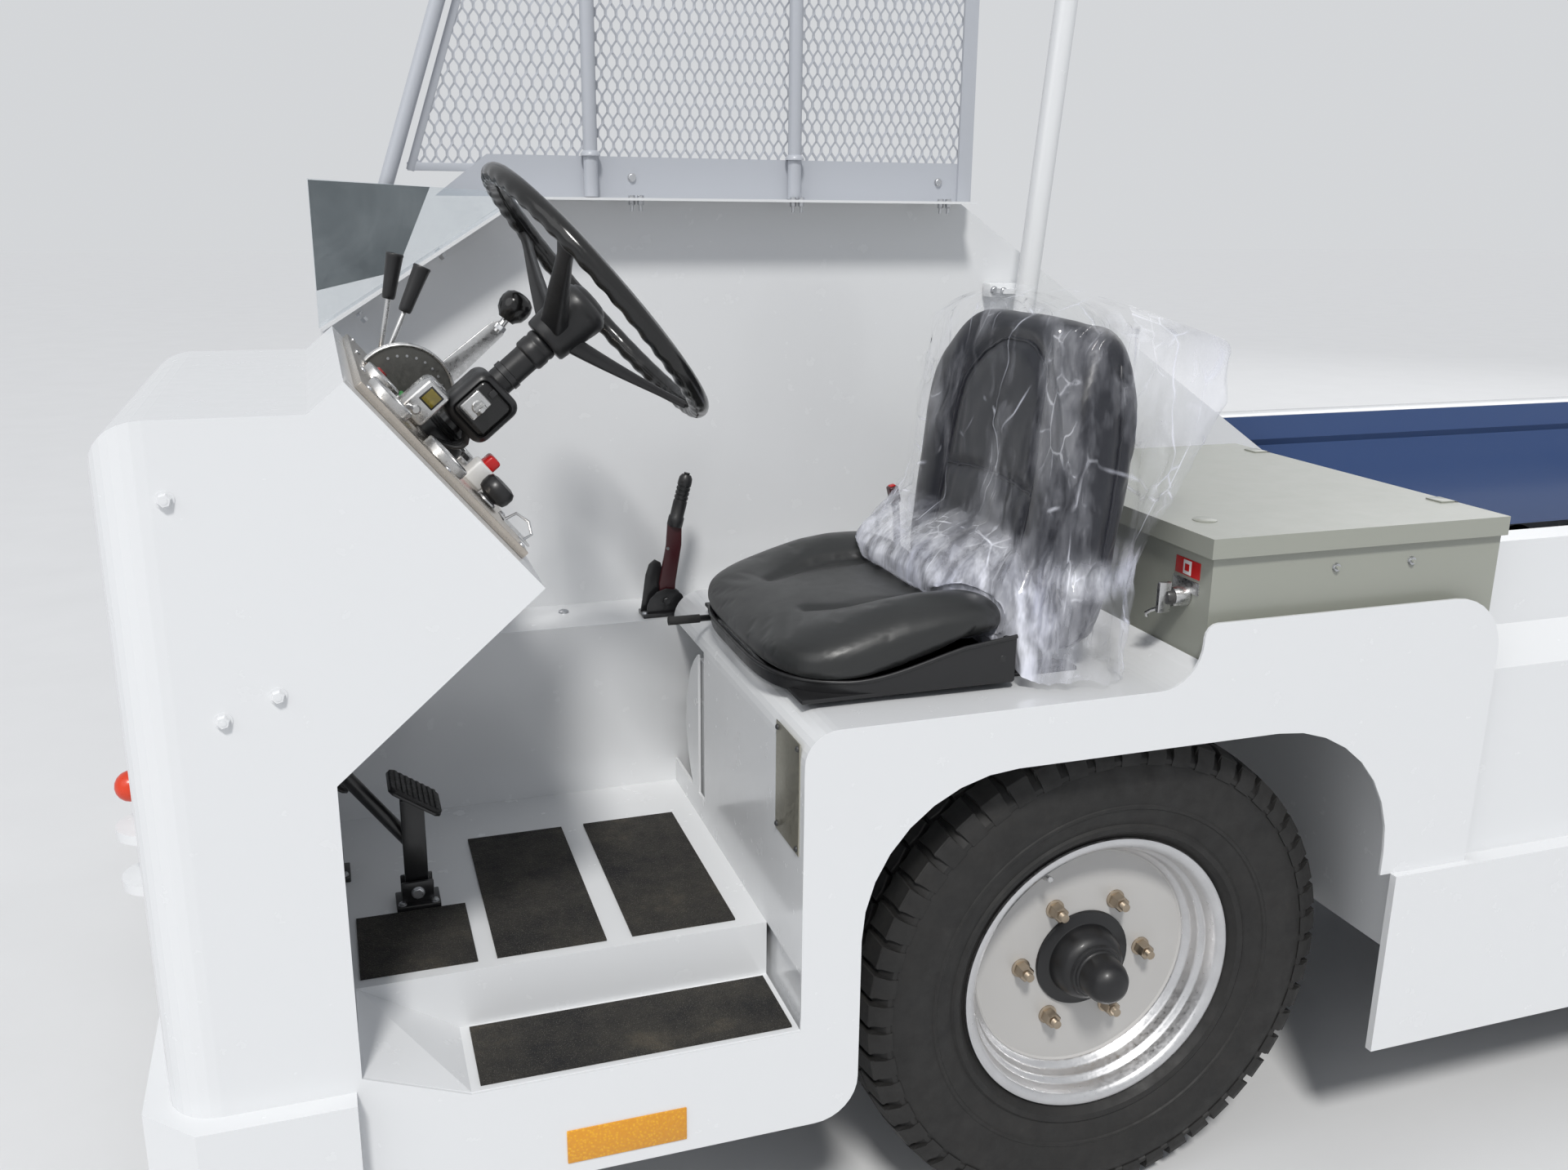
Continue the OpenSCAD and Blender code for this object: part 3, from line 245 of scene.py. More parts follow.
def metal(name, col, rough=0.3, grain=(1, 1, 1)):
    p = Mat(name, Metallic=1.0)
    drift = p.ramp(p.noise(32, 6), (0.3, shade(col, 0.93)), (0.7, shade(col, 1.03)))
    gloss = p.spread(p.noise(160, 4, stretch=grain), rough - 0.08, rough + 0.12)
    return p.done(drift, gloss, (p.noise(480, 3, stretch=grain), 0.12, 0.0005))


def plastic(name, col, rough=0.4, bump=0.12):
    p = Mat(name)
    drift = p.ramp(p.noise(9, 6), (0.3, shade(col, 0.85)), (0.7, shade(col, 1.15)))
    gloss = p.spread(p.noise(60, 4), rough - 0.06, rough + 0.1)
    return p.done(drift, gloss, (p.noise(300, 3), bump, 0.0006))


def vinyl(name, low, high):
    p = Mat(name, IOR=1.5, Sheen_Weight=0.05)
    grain = p.voronoi(430, "DISTANCE_TO_EDGE")
    return p.done(p.ramp(p.noise(6, 3), (0.3, low), (0.7, high)), p.spread(p.noise(30, 3), 0.34, 0.42),
                  (grain, 0.14, 0.0005), (p.noise(900, 2), 0.10, 0.0003))


def grit():
    """Rough black mat with wear and small bright grains."""
    p = Mat("step_grit", Specular_IOR_Level=0.45)
    wear = p.noise(9, 6, 0.7)
    base = p.ramp(wear, (0.34, (0.010, 0.010, 0.011)), (0.58, (0.030, 0.027, 0.022)),
                  (0.8, (0.085, 0.070, 0.048)))
    speckled = p.mix(p.spread(p.voronoi(520), 1, 0, 0.05, 0.22), base, (0.28, 0.26, 0.22))
    return p.done(speckled, p.spread(wear, 0.95, 0.7), (p.voronoi(420), 0.9, 0.0016),
                  (p.noise(700, 3), 0.5, 0.001))


def tyre_rubber():
    p = Mat("tyre_rubber", IOR=1.48)
    dust = p.ramp(p.noise(16, 8, 0.75), (0.3, (0.010, 0.010, 0.010)), (0.62, (0.019, 0.018, 0.017)),
                  (0.85, (0.048, 0.043, 0.036)))
    return p.done(dust, p.spread(p.noise(30, 6), 0.52, 0.78), (p.noise(260, 4), 0.25, 0.0006))


def belt_rubber():
    p = Mat("belt_rubber", IOR=1.48)
    dust = p.ramp(p.noise(5, 7, 0.7), (0.3, (0.012, 0.012, 0.013)), (0.8, (0.045, 0.044, 0.042)))
    return p.done(dust, p.spread(p.noise(40, 4), 0.6, 0.85), (p.voronoi(110), 0.55, 0.002))


def cells(p, scale, centre, border, gloss, depth):
    """Small cells, as in reflectors and ribbed lenses."""
    cell = p.voronoi(scale)
    colour = p.mix(p.spread(cell, 0, 1, 0.1, 0.5), centre, border)
    return p.done(colour, p.spread(cell, *gloss), (cell, *depth))


def lens(name, col, alpha=0.85):
    p = Mat(name, IOR=1.49, Coat_Weight=0.8, Coat_Roughness=0.05, Alpha=alpha)
    return cells(p, 120, col, shade(col, 0.7), (0.08, 0.22), (0.3, 0.001))


def clear_film():
    """Thin crumpled plastic: see-through between milky patches, with glints painted as white lines along the
    creases, and gathers.
    """
    p = Mat("clear_film", IOR=1.45, Roughness=0.08, Specular_IOR_Level=1.0, Coat_Weight=0.9,
            Coat_Roughness=0.04)
    cloud = p.noise(8, 5, 0.6, (1.6, 1.6, 0.5))
    streaks = p.noise(46, 3, 0.6, (1.0, 1.0, 0.28))
    pulls = p.noise(17, 2, 0.5, (1.0, 1.3, 0.26))
    creases = p.voronoi(10, "DISTANCE_TO_EDGE", (1.0, 1.4, 0.5))
    glint_shards = p.voronoi(30, "DISTANCE_TO_EDGE", (1.0, 1.3, 0.45))
    split = new_node(p.t, "SeparateXYZ", {0: p.place})
    x, z = split.outputs["X"], split.outputs["Z"]
    # How much is seen of the milky patches, of the glints painted as white lines along the long and short
    # creases, and of the bunched hem and waist
    milk = p.math("ADD", p.spread(cloud, 0.01, 0.18, 0.48, 0.62), p.spread(x, 0.14, 0, XF - 0.09, XF - 0.03))
    # Painted glints: thin white lines along the long and short creases, where the film is made more opaque
    painted_long_glints = p.math("MULTIPLY", p.spread(creases, 0.58, 0, 0, 0.020), p.spread(pulls, 0, 1, 0.47, 0.60))
    painted_short_glints = p.math("MULTIPLY", p.spread(glint_shards, 0.30, 0, 0, 0.035), p.spread(cloud, 0, 1, 0.54, 0.64))
    hem = p.math("MULTIPLY", p.spread(z, 0.72, 0, 0.985, 1.06), p.spread(x, 0.10, 1, XF + 0.10, XF + 0.17))
    waist = p.spread(p.math("ABSOLUTE", p.math("SUBTRACT", z, 1.005), 0), 0.46, 0.0, 0.004, 0.036)
    bunched = p.math("MULTIPLY", p.math("MAXIMUM", hem, waist), p.spread(streaks, 0.50, 1.20, 0.38, 0.62))
    p.give({"Alpha": p.math("ADD", p.math("ADD", milk, painted_long_glints), p.math("ADD", painted_short_glints, bunched))})
    tint = p.ramp(cloud, (0.3, (0.76, 0.78, 0.92)), (0.7, (0.94, 0.95, 1.0)))
    return p.done(tint, None, (pulls, 0.45, 0.008), (creases, 0.25, 0.006), (streaks, 0.25, 0.003))


def clear_sheet():
    p = Mat("clear_sheet", IOR=1.49, Roughness=0.05, Specular_IOR_Level=0.7)
    haze = p.noise(7, 7, 0.7)
    p.give({"Alpha": p.spread(haze, 0.16, 0.30)})
    tint = p.ramp(haze, (0.3, (0.42, 0.50, 0.56)), (0.7, (0.55, 0.62, 0.66)))
    return p.done(tint, None, (p.noise(60, 3), 0.05, 0.001))


def floor_mat():
    p = Mat("studio_floor", Roughness=0.9)
    return p.done(p.ramp(p.noise(3, 4), (0.3, (0.735, 0.738, 0.74)), (0.7, (0.755, 0.758, 0.76))), None)


WHITE = paint("white_paint", (0.79, 0.80, 0.81), 0.24, coat=0.4, skin=0.008)
GREY = paint("guard_paint", (0.47, 0.49, 0.53), 0.38)
BOX = paint("box_paint", (0.335, 0.345, 0.30), 0.33, dirt=0.1)
BLUE = paint("blue_paint", (0.045, 0.088, 0.225), 0.12, coat=1.0)
DARK = paint("chassis_paint", (0.028, 0.029, 0.031), 0.5, dirt=0.25)
BLACK_MET = paint("black_paint", (0.010, 0.010, 0.011), 0.34, dirt=0.05)
RIM = paint("rim_paint", (0.50, 0.49, 0.475), 0.34, dirt=0.10, coat=0.3, skin=0.05)
HUB_BLACK = paint("hub_paint", (0.009, 0.009, 0.010), 0.42, coat=0.1, skin=0.06)
RIM_METAL = metal("rim_silver", (0.66, 0.66, 0.67), 0.34)
STEEL = metal("bright_steel", (0.60, 0.60, 0.60), 0.28)
BRUSHED = metal("brushed_panel", (0.55, 0.50, 0.44), 0.22, (1, 14, 1))
ZINC = metal("zinc_bolt", (0.55, 0.56, 0.58), 0.32)
NUT = metal("worn_nut", (0.42, 0.35, 0.27), 0.4)
PLATE = metal("data_plate", (0.50, 0.48, 0.40), 0.42, (6, 1, 1))
DISC_GREY = metal("disc_grey", (0.16, 0.16, 0.15), 0.42)
BLACK = plastic("black_plastic", (0.014, 0.014, 0.015), 0.36)
GLOSSY = plastic("black_glossy", (0.010, 0.010, 0.010), 0.16, 0.04)
KNOB_RED = plastic("knob_red", (0.62, 0.045, 0.012), 0.3, 0.04)
SCREEN_GREY = plastic("screen_grey", (0.115, 0.125, 0.122), 0.35, 0.05)
RED = plastic("red_plastic", (0.50, 0.012, 0.012), 0.3, 0.05)
MAROON = plastic("buckle_maroon", (0.048, 0.008, 0.011), 0.35)
LABEL = plastic("white_label", (0.75, 0.75, 0.74), 0.35, 0.03)
GAUGE_FACE = plastic("gauge_face", (0.02, 0.02, 0.022), 0.4, 0.03)
VINYL = vinyl("seat_vinyl", (0.017, 0.018, 0.018), (0.021, 0.022, 0.022))
VINYL_BACK = vinyl("back_vinyl", (0.007, 0.008, 0.013), (0.010, 0.011, 0.017))
AMBER = lens("beacon_amber", (0.85, 0.24, 0.01), 0.9)
CLEAR_LENS = lens("lamp_lens", (0.62, 0.64, 0.66), 0.7)
RED_LENS = lens("tail_lens", (0.45, 0.01, 0.008), 0.92)
GREEN_LENS = lens("green_lens", (0.02, 0.30, 0.05), 0.92)
CLUSTER = lens("counter_window", (0.22, 0.17, 0.01), 1.0)
REFLECT = cells(Mat("amber_reflector", Coat_Weight=0.6, Coat_Roughness=0.08), 260,
                (0.88, 0.45, 0.01), (0.70, 0.29, 0.005), (0.18, 0.4), (0.4, 0.0008))
GRIT, TYRE, RUBBER, FILM, SCREEN = grit(), tyre_rubber(), belt_rubber(), clear_film(), clear_sheet()

# Materials of the solids that show as they are; the others are white
NODE_MATS = (
    (DARK, "chassis_frame power_unit rear_hitch"), (BOX, "electrical_box electrical_lid"),
    (BLACK_MET, "front_axle rear_axle knuckle_left knuckle_right lift_barrels"), (STEEL, "lift_rods"),
    (BLUE, "boom_frame boom_pivot"), (RUBBER, "boom_belt boom_buffer"), (GRIT, "step_mats"),
    (GREY, "guard_frame"), (SCREEN, "side_screen"), (SCREEN_GREY, "screen_plate"),
)
mat_of = {name: mat for mat, names in NODE_MATS for name in names.split()}
for name, obj in nodes.items():
    obj.data.materials.clear()
    obj.data.materials.append(mat_of.get(name, WHITE))

# Folded sheet and machined edges catch the light on a small round, in metres
EDGE = {
    0.0018: "side_skin_left", 0.002: "divider seat_box front_apron deck_plate rear_panel",
    0.003: "nose_cowl boom_frame",
    0.004: "electrical_lid electrical_box front_hitch rear_hitch side_skin_right",
    0.006: "front_bumper cab_floor rear_body_left", 0.02: "boom_buffer",
}
for width, names in EDGE.items():
    for name in names.split():
        bevel = nodes[name].modifiers.new("edge", "BEVEL")
        bevel.width, bevel.segments = width, 3
        bevel.limit_method, bevel.angle_limit = "ANGLE", rad(32)


# Building pieces


class Kit:
    """Collects shapes, each with its material, into one piece."""

    def __init__(self, name, place=None):
        self.name, self.bm, self.mats = name, bmesh.new(), []
        self.place = place or Matrix.Identity(4)

    def face(self, verts, mat, smooth):
        if mat not in self.mats:
            self.mats.append(mat)
        try:
            face = self.bm.faces.new(verts)
        except ValueError:
            return
        face.material_index, face.smooth = self.mats.index(mat), smooth

    def add(self, points, faces, mat, smooth=False):
        verts = [self.bm.verts.new(self.place @ Vector(p)) for p in points]
        for face in faces:
            self.face([verts[i] for i in face], mat, smooth)
        return verts

    def take(self, part, mat, turn, bevel, segments):
        """Rounds a small bmesh's edges by bevel and moves it into the piece."""
        if bevel:
            edges = part.edges[:]
            bmesh.ops.bevel(part, geom=edges, offset=bevel, segments=segments, affect="EDGES", profile=0.5)
        part.verts.index_update()
        turn = turn or Matrix.Identity(4)
        faces = [[v.index for v in f.verts] for f in part.faces]
        self.add([turn @ v.co for v in part.verts], faces, mat, True)
        part.free()

    def box(self, lo, hi, mat, bevel=0.001, turn=None, segments=2):
        part = bmesh.new()
        bmesh.ops.create_cube(part, size=1)
        for v in part.verts:
            v.co = Vector((v.co[i] + 0.5) * (hi[i] - lo[i]) + lo[i] for i in range(3))
        self.take(part, mat, turn, bevel, segments)

    def boxes(self, *rows):
        """Each row is (low corner, high corner, material, bevel), and its segments if not 2."""
        for lo, hi, mat, bevel, *segments in rows:
            self.box(lo, hi, mat, bevel, None, *segments)

    def plate(self, outline, thick, mat, turn=None, bevel=0.0):
        """An outline in the XY plane, raised by thick."""
        part = bmesh.new()
        face = part.faces.new([part.verts.new((x, y, 0)) for x, y in outline])
        top = bmesh.ops.extrude_face_region(part, geom=[face])["geom"]
        top = [v for v in top if isinstance(v, bmesh.types.BMVert)]
        bmesh.ops.translate(part, verts=top, vec=(0, 0, thick))
        bmesh.ops.recalc_face_normals(part, faces=part.faces[:])
        self.take(part, mat, turn, bevel, 2)

    def lathe(self, profile, mat, base=(0, 0, 0), axis=(0, 0, 1), n=32, closed=False):
        """profile is (radius, height) along axis, from base; closed joins its two ends."""
        z = Vector(axis).normalized()
        x = z.orthogonal().normalized()
        y = z.cross(x)
        base, m = Vector(base), len(profile)
        points = []
        for i in range(n):
            a = TURN * i / n
            side = x * math.cos(a) + y * math.sin(a)
            points += [base + side * r + z * h for r, h in profile]
        verts = self.add(points, quads(n, m, True, closed), mat, True)
        for k in () if closed else (0, m - 1):
            if profile[k][0] > 0:
                self.face([verts[i * m + k] for i in range(n)], mat, False)
        bmesh.ops.remove_doubles(self.bm, verts=verts, dist=1e-6)

    def rod(self, p, q, r, mat, r2=None, n=20):
        """A round bar with its end edges rounded."""
        p, q = Vector(p), Vector(q)
        h, r2 = (q - p).length, r if r2 is None else r2
        e = min(0.0012, r * 0.5, r2 * 0.5, h * 0.3)
        self.lathe([(0, 0), (r - e, 0), (r, e), (r2, h - e), (r2 - e, h), (0, h)], mat, p, q - p, n)

    def ball(self, centre, r, mat, n=20, steps=10):
        arc = [math.pi * i / steps for i in range(steps + 1)]
        self.lathe([(r * math.sin(a), -r * math.cos(a)) for a in arc], mat, centre, (0, 0, 1), n)

    def tube(self, points, r, mat, n=10):
        """A tube along points; r is one radius or one for each point."""
        points = [Vector(p) for p in points]
        count = len(points)
        radii = r if isinstance(r, list) else [r] * count
        ahead = [(points[min(i + 1, count - 1)] - points[max(i - 1, 0)]).normalized() for i in range(count)]
        x = ahead[0].orthogonal().normalized()
        rings = []
        for p, radius, way in zip(points, radii, ahead):
            x = (x - way * x.dot(way)).normalized()
            y = way.cross(x)
            for k in range(n):
                a = TURN * k / n
                rings.append(p + (x * math.cos(a) + y * math.sin(a)) * radius)
        ends = [list(range(n))[::-1], [(count - 1) * n + k for k in range(n)]]
        self.add(rings, quads(count, n) + ends, mat, True)

    def hexagon(self, p, axis, r, h, mat):
        """A hexagonal nut or bolt head with a chamfered face."""
        self.lathe([(0, 0), (r, 0), (r, h * 0.82), (r * 0.86, h), (0, h)], mat, p, axis, 6)

    def bolt(self, p, axis, size, mat=ZINC):
        """A bolt head on its washer."""
        axis = Vector(axis).normalized()
        wide, thin = size * 1.15, size * 0.16
        self.lathe([(0, 0), (wide, 0), (wide, thin), (0, thin)], mat, p, axis, 20)
        self.hexagon(Vector(p) + axis * size * 0.15, axis, size, size * 0.62, mat)

    def pan_head(self, p, axis, r, mat=ZINC):
        profile = [(0, 0), (r, 0), (r * 0.96, r * 0.3), (r * 0.6, r * 0.52), (0, r * 0.56)]
        self.lathe(profile, mat, p, axis, 16)

    def dome(self, p, axis, r, mat):
        profile = [(0, 0), (r, 0), (r, r * 0.2), (r * 0.86, r * 0.55), (r * 0.5, r * 0.8), (0, r * 0.88)]
        self.lathe(profile, mat, p, axis, 24)

    def finish(self, body, replaces=(), slot=None, sharp=40):
        obj = mesh_object(self.name, self.bm, self.mats)
        obj.data.set_sharp_from_angle(angle=rad(sharp))
        dress(obj, body, replaces)


def dress(obj, body, replaces=()):
    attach(obj, body)
    if replaces:
        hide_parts(*replaces)


def upright(y):
    """Stands an outline up in the XZ plane at y."""
    return Matrix(((1, 0, 0, 0), (0, 0, 1, y), (0, 1, 0, 0), (0, 0, 0, 1)))


def ring(centre, r, degrees):
    """Points (x, z) round a centre."""
    return [(centre[0] + r * math.cos(rad(t)), centre[1] + r * math.sin(rad(t))) for t in degrees]


# Wheels

TYRE_R, TYRE_W, RIM_R = 0.382, 0.248, 0.220
TYRE_OUT = SIDE - 0.060
FLANGE_Y = TYRE_OUT - 0.020
DISC_Y = FLANGE_Y - 0.056
TREAD_DEPTH, TREAD_COUNT = 0.011, 52


def mm(rows):
    return [(a / 1000, b / 1000) for a, b in rows]


def tyre(name, x, side):
    """Carcass with its ribs and beads, and a tread of blocks."""
    half = TYRE_W / 2
    base = TYRE_R - TREAD_DEPTH
    kit = Kit("tread_" + name, Matrix.Translation((XF + x, (TYRE_OUT - half) * side, TYRE_R)))
    # Out from the rim and in from the side, in millimetres, up to the shoulder
    wall = [(RIM_R + out, half - inner) for out, inner in mm((
        (-13, 30), (2, 28), (10, 20), (14, 14.5), (22, 12.5), (26, 15), (40, 8.5), (52, 6.2), (54, 4),
        (58, 4), (60, 5.2), (80, 1.2), (96, 0.4), (112, 2.2), (122, 6), (124, 4), (130, 5)))]
    wall += [(base - 0.006, half - 0.018), (base - 0.0005, half - 0.030), (base + 0.0005, half - 0.060)]
    wall.append((base + 0.001, 0))
    kit.lathe(wall + [(r, -w) for r, w in wall[-2::-1]], TYRE, (0, 0, 0), ALONG_Y, 120, closed=True)

    def crown(w):
        return TYRE_R - 0.0045 * (w / half) ** 2 - max(0, abs(w) - 0.085) * 0.16

    def spot(u, w, r):
        """A point at u pitches round the tyre."""
        a = u * TURN / TREAD_COUNT
        return r * math.sin(a), w, r * math.cos(a)

    def block(start, outline, low):
        """A tread block with rounded top edges; outline is (share of the pitch, w)."""
        n = len(outline)
        cu, cw = (sum(p[k] for p in outline) / n for k in (0, 1))
        inner = [(cu + (u - cu) * 0.93, cw + (w - cw) * 0.94) for u, w in outline]
        points = [spot(start + u, w, crown(w)) for u, w in inner]
        points += [spot(start + u, w, crown(w) - 0.0016) for u, w in outline]
        points += [spot(start + u, w, low) for u, w in outline]
        kit.add(points, [list(range(n))] + quads(3, n), TYRE)

    middle = [(0.04, -0.017), (0.30, -0.021), (0.58, -0.013), (0.94, -0.019), (0.96, 0.013), (0.70, 0.019),
              (0.42, 0.011), (0.06, 0.017)]
    rib = [(0.05, 0.028), (0.40, 0.023), (0.93, 0.030), (0.97, 0.058), (0.55, 0.062), (0.09, 0.056)]
    lug = [(0.06, 0.068), (0.50, 0.071), (0.90, 0.067), (0.86, 0.098), (0.90, half - 0.013),
           (0.14, half - 0.013), (0.10, 0.098)]
    foot = [(crown(half - 0.013) - 0.0016, half - 0.0135), (base - 0.016, half - 0.0035),
            (base - 0.030, half - 0.0035), (base - 0.030, half - 0.012), (base - 0.008, half - 0.030)]
    m = len(foot)
    for i in range(TREAD_COUNT):
        block(i, middle, base - 0.002)
        for s, rib_at, lug_at in ((-1, i, i + 0.5), (1, i + 0.5, i + 0.25)):
            block(rib_at, [(u, s * w) for u, w in rib[::s]], base - 0.002)
            block(lug_at, [(u, s * w) for u, w in lug[::s]], base - 0.012)
            # Side of the shoulder lug, down the wall
            points = [spot(lug_at + u, s * w, r) for u in (0.16, 0.86) for r, w in foot]
            kit.add(points, quads(2, m) + [list(range(m)), list(range(m, 2 * m))[::-1]], TYRE)
    return kit


def rim(name, x, side):
    """Silver rim, disc, studs with nuts, black stepped hub and valve; profiles in millimetres."""
    kit = Kit("wheel_" + name, Matrix.Translation((XF + x, 0, TYRE_R)) @ Matrix.Diagonal((1, side, 1, 1)))
    kit.lathe(mm((
        (219.2, -1.2), (220, -3.5), (219.5, -6.5), (209, -9.5), (205, -12), (205, -46), (201, -51),
        (187, -58), (183, -63), (183, -68), (191, -78), (205, -86), (205, -199), (219, -202), (220, -207),
        (217, -208), (202, -208), (199, -204), (199, -92), (179, -74), (177, -68), (176.5, -58),
        (179, -53.5), (185, -50), (188.5, -46), (189.5, -34), (193, -29), (197.5, -26.5), (199, -23),
        (202.5, -8), (206, -3), (212, -0.5), (216, 0))),
        RIM_METAL, (0, FLANGE_Y, 0), ALONG_Y, 120, closed=True)
    kit.lathe(mm((
        (30, -12), (30, 0), (120, 0), (135, -0.5), (160, -2), (174, -3), (179.5, 1), (179.5, -14),
        (171, -12))), RIM, (0, DISC_Y, 0), ALONG_Y, 120, closed=True)
    kit.lathe(mm((
        (30, -36), (54, -36), (54, -12), (77.5, -12), (77.5, 3), (76.5, 4.8), (60, 5.2), (58, 6.5), (57, 12),
        (55, 24), (51, 34), (45, 40.5), (42.5, 41.5), (41.5, 44.5), (40.5, 46.5), (37.5, 47.5), (37, 50.5),
        (36, 51.5), (34.5, 52.5), (34.2, 66), (33, 76), (29.5, 86), (23.5, 93.5), (15, 98.5), (7, 100.3),
        (0, 100.6))), HUB_BLACK, (0, DISC_Y, 0), ALONG_Y, 56)
    thread = mm([(0, 19)] + [(6.6 - 0.6 * (k % 2), 19 + k * 0.9) for k in range(15)] + [(0, 32.5)])
    for px, pz in ring((0, 0), 0.103, range(0, -360, -60)):
        stud = (px, DISC_Y, pz)
        kit.lathe(mm(((15, 0), (15, 2), (12.5, 3.5), (0, 3.5))), NUT, stud, ALONG_Y, 20)
        kit.hexagon((px, DISC_Y + 0.003, pz), ALONG_Y, 0.0128, 0.019, NUT)
        kit.lathe(thread, NUT, stud, ALONG_Y, 12)

    def stem(share, out):
        """A point of the valve, on a line from the hub."""
        r = 0.172 * share
        return r * math.cos(rad(62)), DISC_Y + out, r * math.sin(rad(62))

    kit.tube([stem(1, -0.004), stem(1.02, 0.014), stem(1.06, 0.034)], [0.0052, 0.005, 0.0042], STEEL)
    kit.rod(stem(1.06, 0.032), stem(1.085, 0.043), 0.0046, STEEL, n=12)
    return kit


for end, x in (("front", 0), ("rear", -3.0)):
    for hand, side in (("left", 1), ("right", -1)):
        tag = f"{end}_{hand}"
        tyre(tag, x, side).finish(f"wheel_{tag}", [f"tyre_{tag}"], "tyre", 30)
        rim(tag, x, side).finish(f"wheel_{tag}", [f"rim_{tag}"], "rim_silver")

# Places in millimetres: ahead of the front axle, and on the dash's plane, which leans back by 50 degrees
MM = Matrix.Scale(0.001, 4)
AHEAD = Matrix.Translation((XF, 0, 0)) @ MM
DASH = Matrix(((0.642788, 0, -0.766044, 2.824), (0, 1, 0, 0), (0.766044, 0, 0.642788, 1.3), (0, 0, 0, 1)))
DASH = DASH @ MM
COLUMN = DASH @ Matrix.Translation((-157, 700, 0))


# Steering wheel and column


def steering_wheel():
    """Ring with finger grips, three spokes and hub."""
    kit = Kit("steering_wheel_rim", COLUMN)
    ring_r, ring_z, thick, grips = 192, 286, 13, 44
    n, m = 288, 18
    points = []
    for i in range(n):
        a = TURN * i / n
        wave = 0.5 + 0.5 * math.cos(grips * a)
        for k in range(m):
            b = TURN * k / m
            under = max(0, -math.sin(b)) ** 1.5 * 0.75 + 0.25 * max(0, -math.cos(b + 0.6)) ** 2
            t = thick * (1 - 0.17 * under * wave)
            r = ring_r + t * math.cos(b)
            points.append((r * math.cos(a), r * math.sin(a), ring_z + t * math.sin(b)))
    kit.add(points, quads(n, m, True), GLOSSY, True)
    rows, m = 14, 16
    for a in (rad(60), rad(180), rad(300)):
        out, across = Vector((math.cos(a), math.sin(a), 0)), Vector((-math.sin(a), math.cos(a), 0))
        points = []
        for i in range(rows + 1):
            t = i / rows
            wide = 18 - 8 * min(1, t * 1.15) + 5 * max(0, t - 0.85) / 0.15
            high = 13 - 7.5 * min(1, t * 1.3)
            middle = out * (14 + t * 176) + Vector((0, 0, 217 + 66 * t ** 1.1))
            for k in range(m):
                b = TURN * k / m
                lift = Vector((0, 0, sgn_pow(math.sin(b), 0.45) * high))
                points.append(middle + across * sgn_pow(math.cos(b), 0.35) * wide + lift)
        ends = [list(range(m)), [rows * m + k for k in range(m)][::-1]]
        kit.add(points, quads(rows + 1, m) + ends, BLACK, True)
    hub = [(0, 196), (29, 196), (31, 198), (32, 206), (33, 226), (36.5, 252), (37, 260), (35, 266),
           (30, 271), (28, 272), (27.5, 274), (20, 279), (0, 281)]
    kit.lathe(hub, BLACK, n=40)
    kit.finish("steering_wheel", ["steering_wheel"], "black_plastic", 50)


def column():
    """Jacket with its collar, rounded switch housing with the key, looms and bellow."""
    kit = Kit("column_jacket", COLUMN)
    jacket = [(0, 10), (36, 10), (36, 20), (33, 25), (19, 27), (18.5, 30), (18.5, 166), (21, 168),
              (21.8, 170), (21.8, 182), (20.6, 184), (20.6, 186), (21.8, 188), (21.8, 192), (20.5, 195),
              (17, 196), (17, 204), (0, 204)]
    kit.lathe(jacket, BLACK, n=48)
    for z in (34, 128):
        kit.lathe([(18, z), (20.4, z + 1), (20.4, z + 9), (18, z + 10)], BLACK_MET)
    kit.boxes(((-30, 10, 46), (39, 85, 118), BLACK, 15, 6), ((-22, 78, 54), (31, 88.5, 110), GLOSSY, 9, 5),
              ((2, 88, 64), (26, 90.5, 94), STEEL, 2.2, 3))
    kit.lathe([(8.5, 0), (8.5, 4), (7, 5.5), (0, 5.5)], STEEL, (10, 88, 80), ALONG_Y, 28)
    kit.box((8.9, 93, 73), (11.1, 114, 87), STEEL, 0.8)
    kit.lathe([(4.5, -2), (7.5, -2), (7.5, 2), (4.5, 2)], STEEL, (10, 117, 80), (1, 0, 0), 20, closed=True)
    kit.box((6, 88, 98), (14, 91, 108), BLACK_MET, 1.2)
    bellow = []
    for i in range(7):
        bellow += [(36 - i * 2.2, 10.5 + i * 4), (32 - i * 2.1, 12.5 + i * 4)]
    kit.lathe(bellow, RUBBER)
    for y, r in ((26, 4.2), (40, 3.4), (54, 3.0)):
        loom = [(-6 + 3 * k - 22 * math.sin(k * 0.52), y + 2 * math.sin(k), 52 - 7 * k) for k in range(7)]
        kit.tube(loom, r, BLACK, 8)
    kit.finish("chassis", ["steering_column"], "black_plastic")


# Dash

# Each gauge as (x, y, radius)
GAUGES = [(-80, 428, 26), (-160, 440, 34), (-235, 440, 26), (-60, 700, 26), (-62, 860, 30), (-150, 870, 30)]
# Each button or pilot lamp as (x, y, material)
BUTTONS = [(-60, 500, AMBER), (-100, 640, GREEN_LENS), (-60, 640, RED_LENS), (-190, 500, BLACK),
           (-225, 500, BLACK), (-190, 560, RED), (-225, 560, BLACK)]


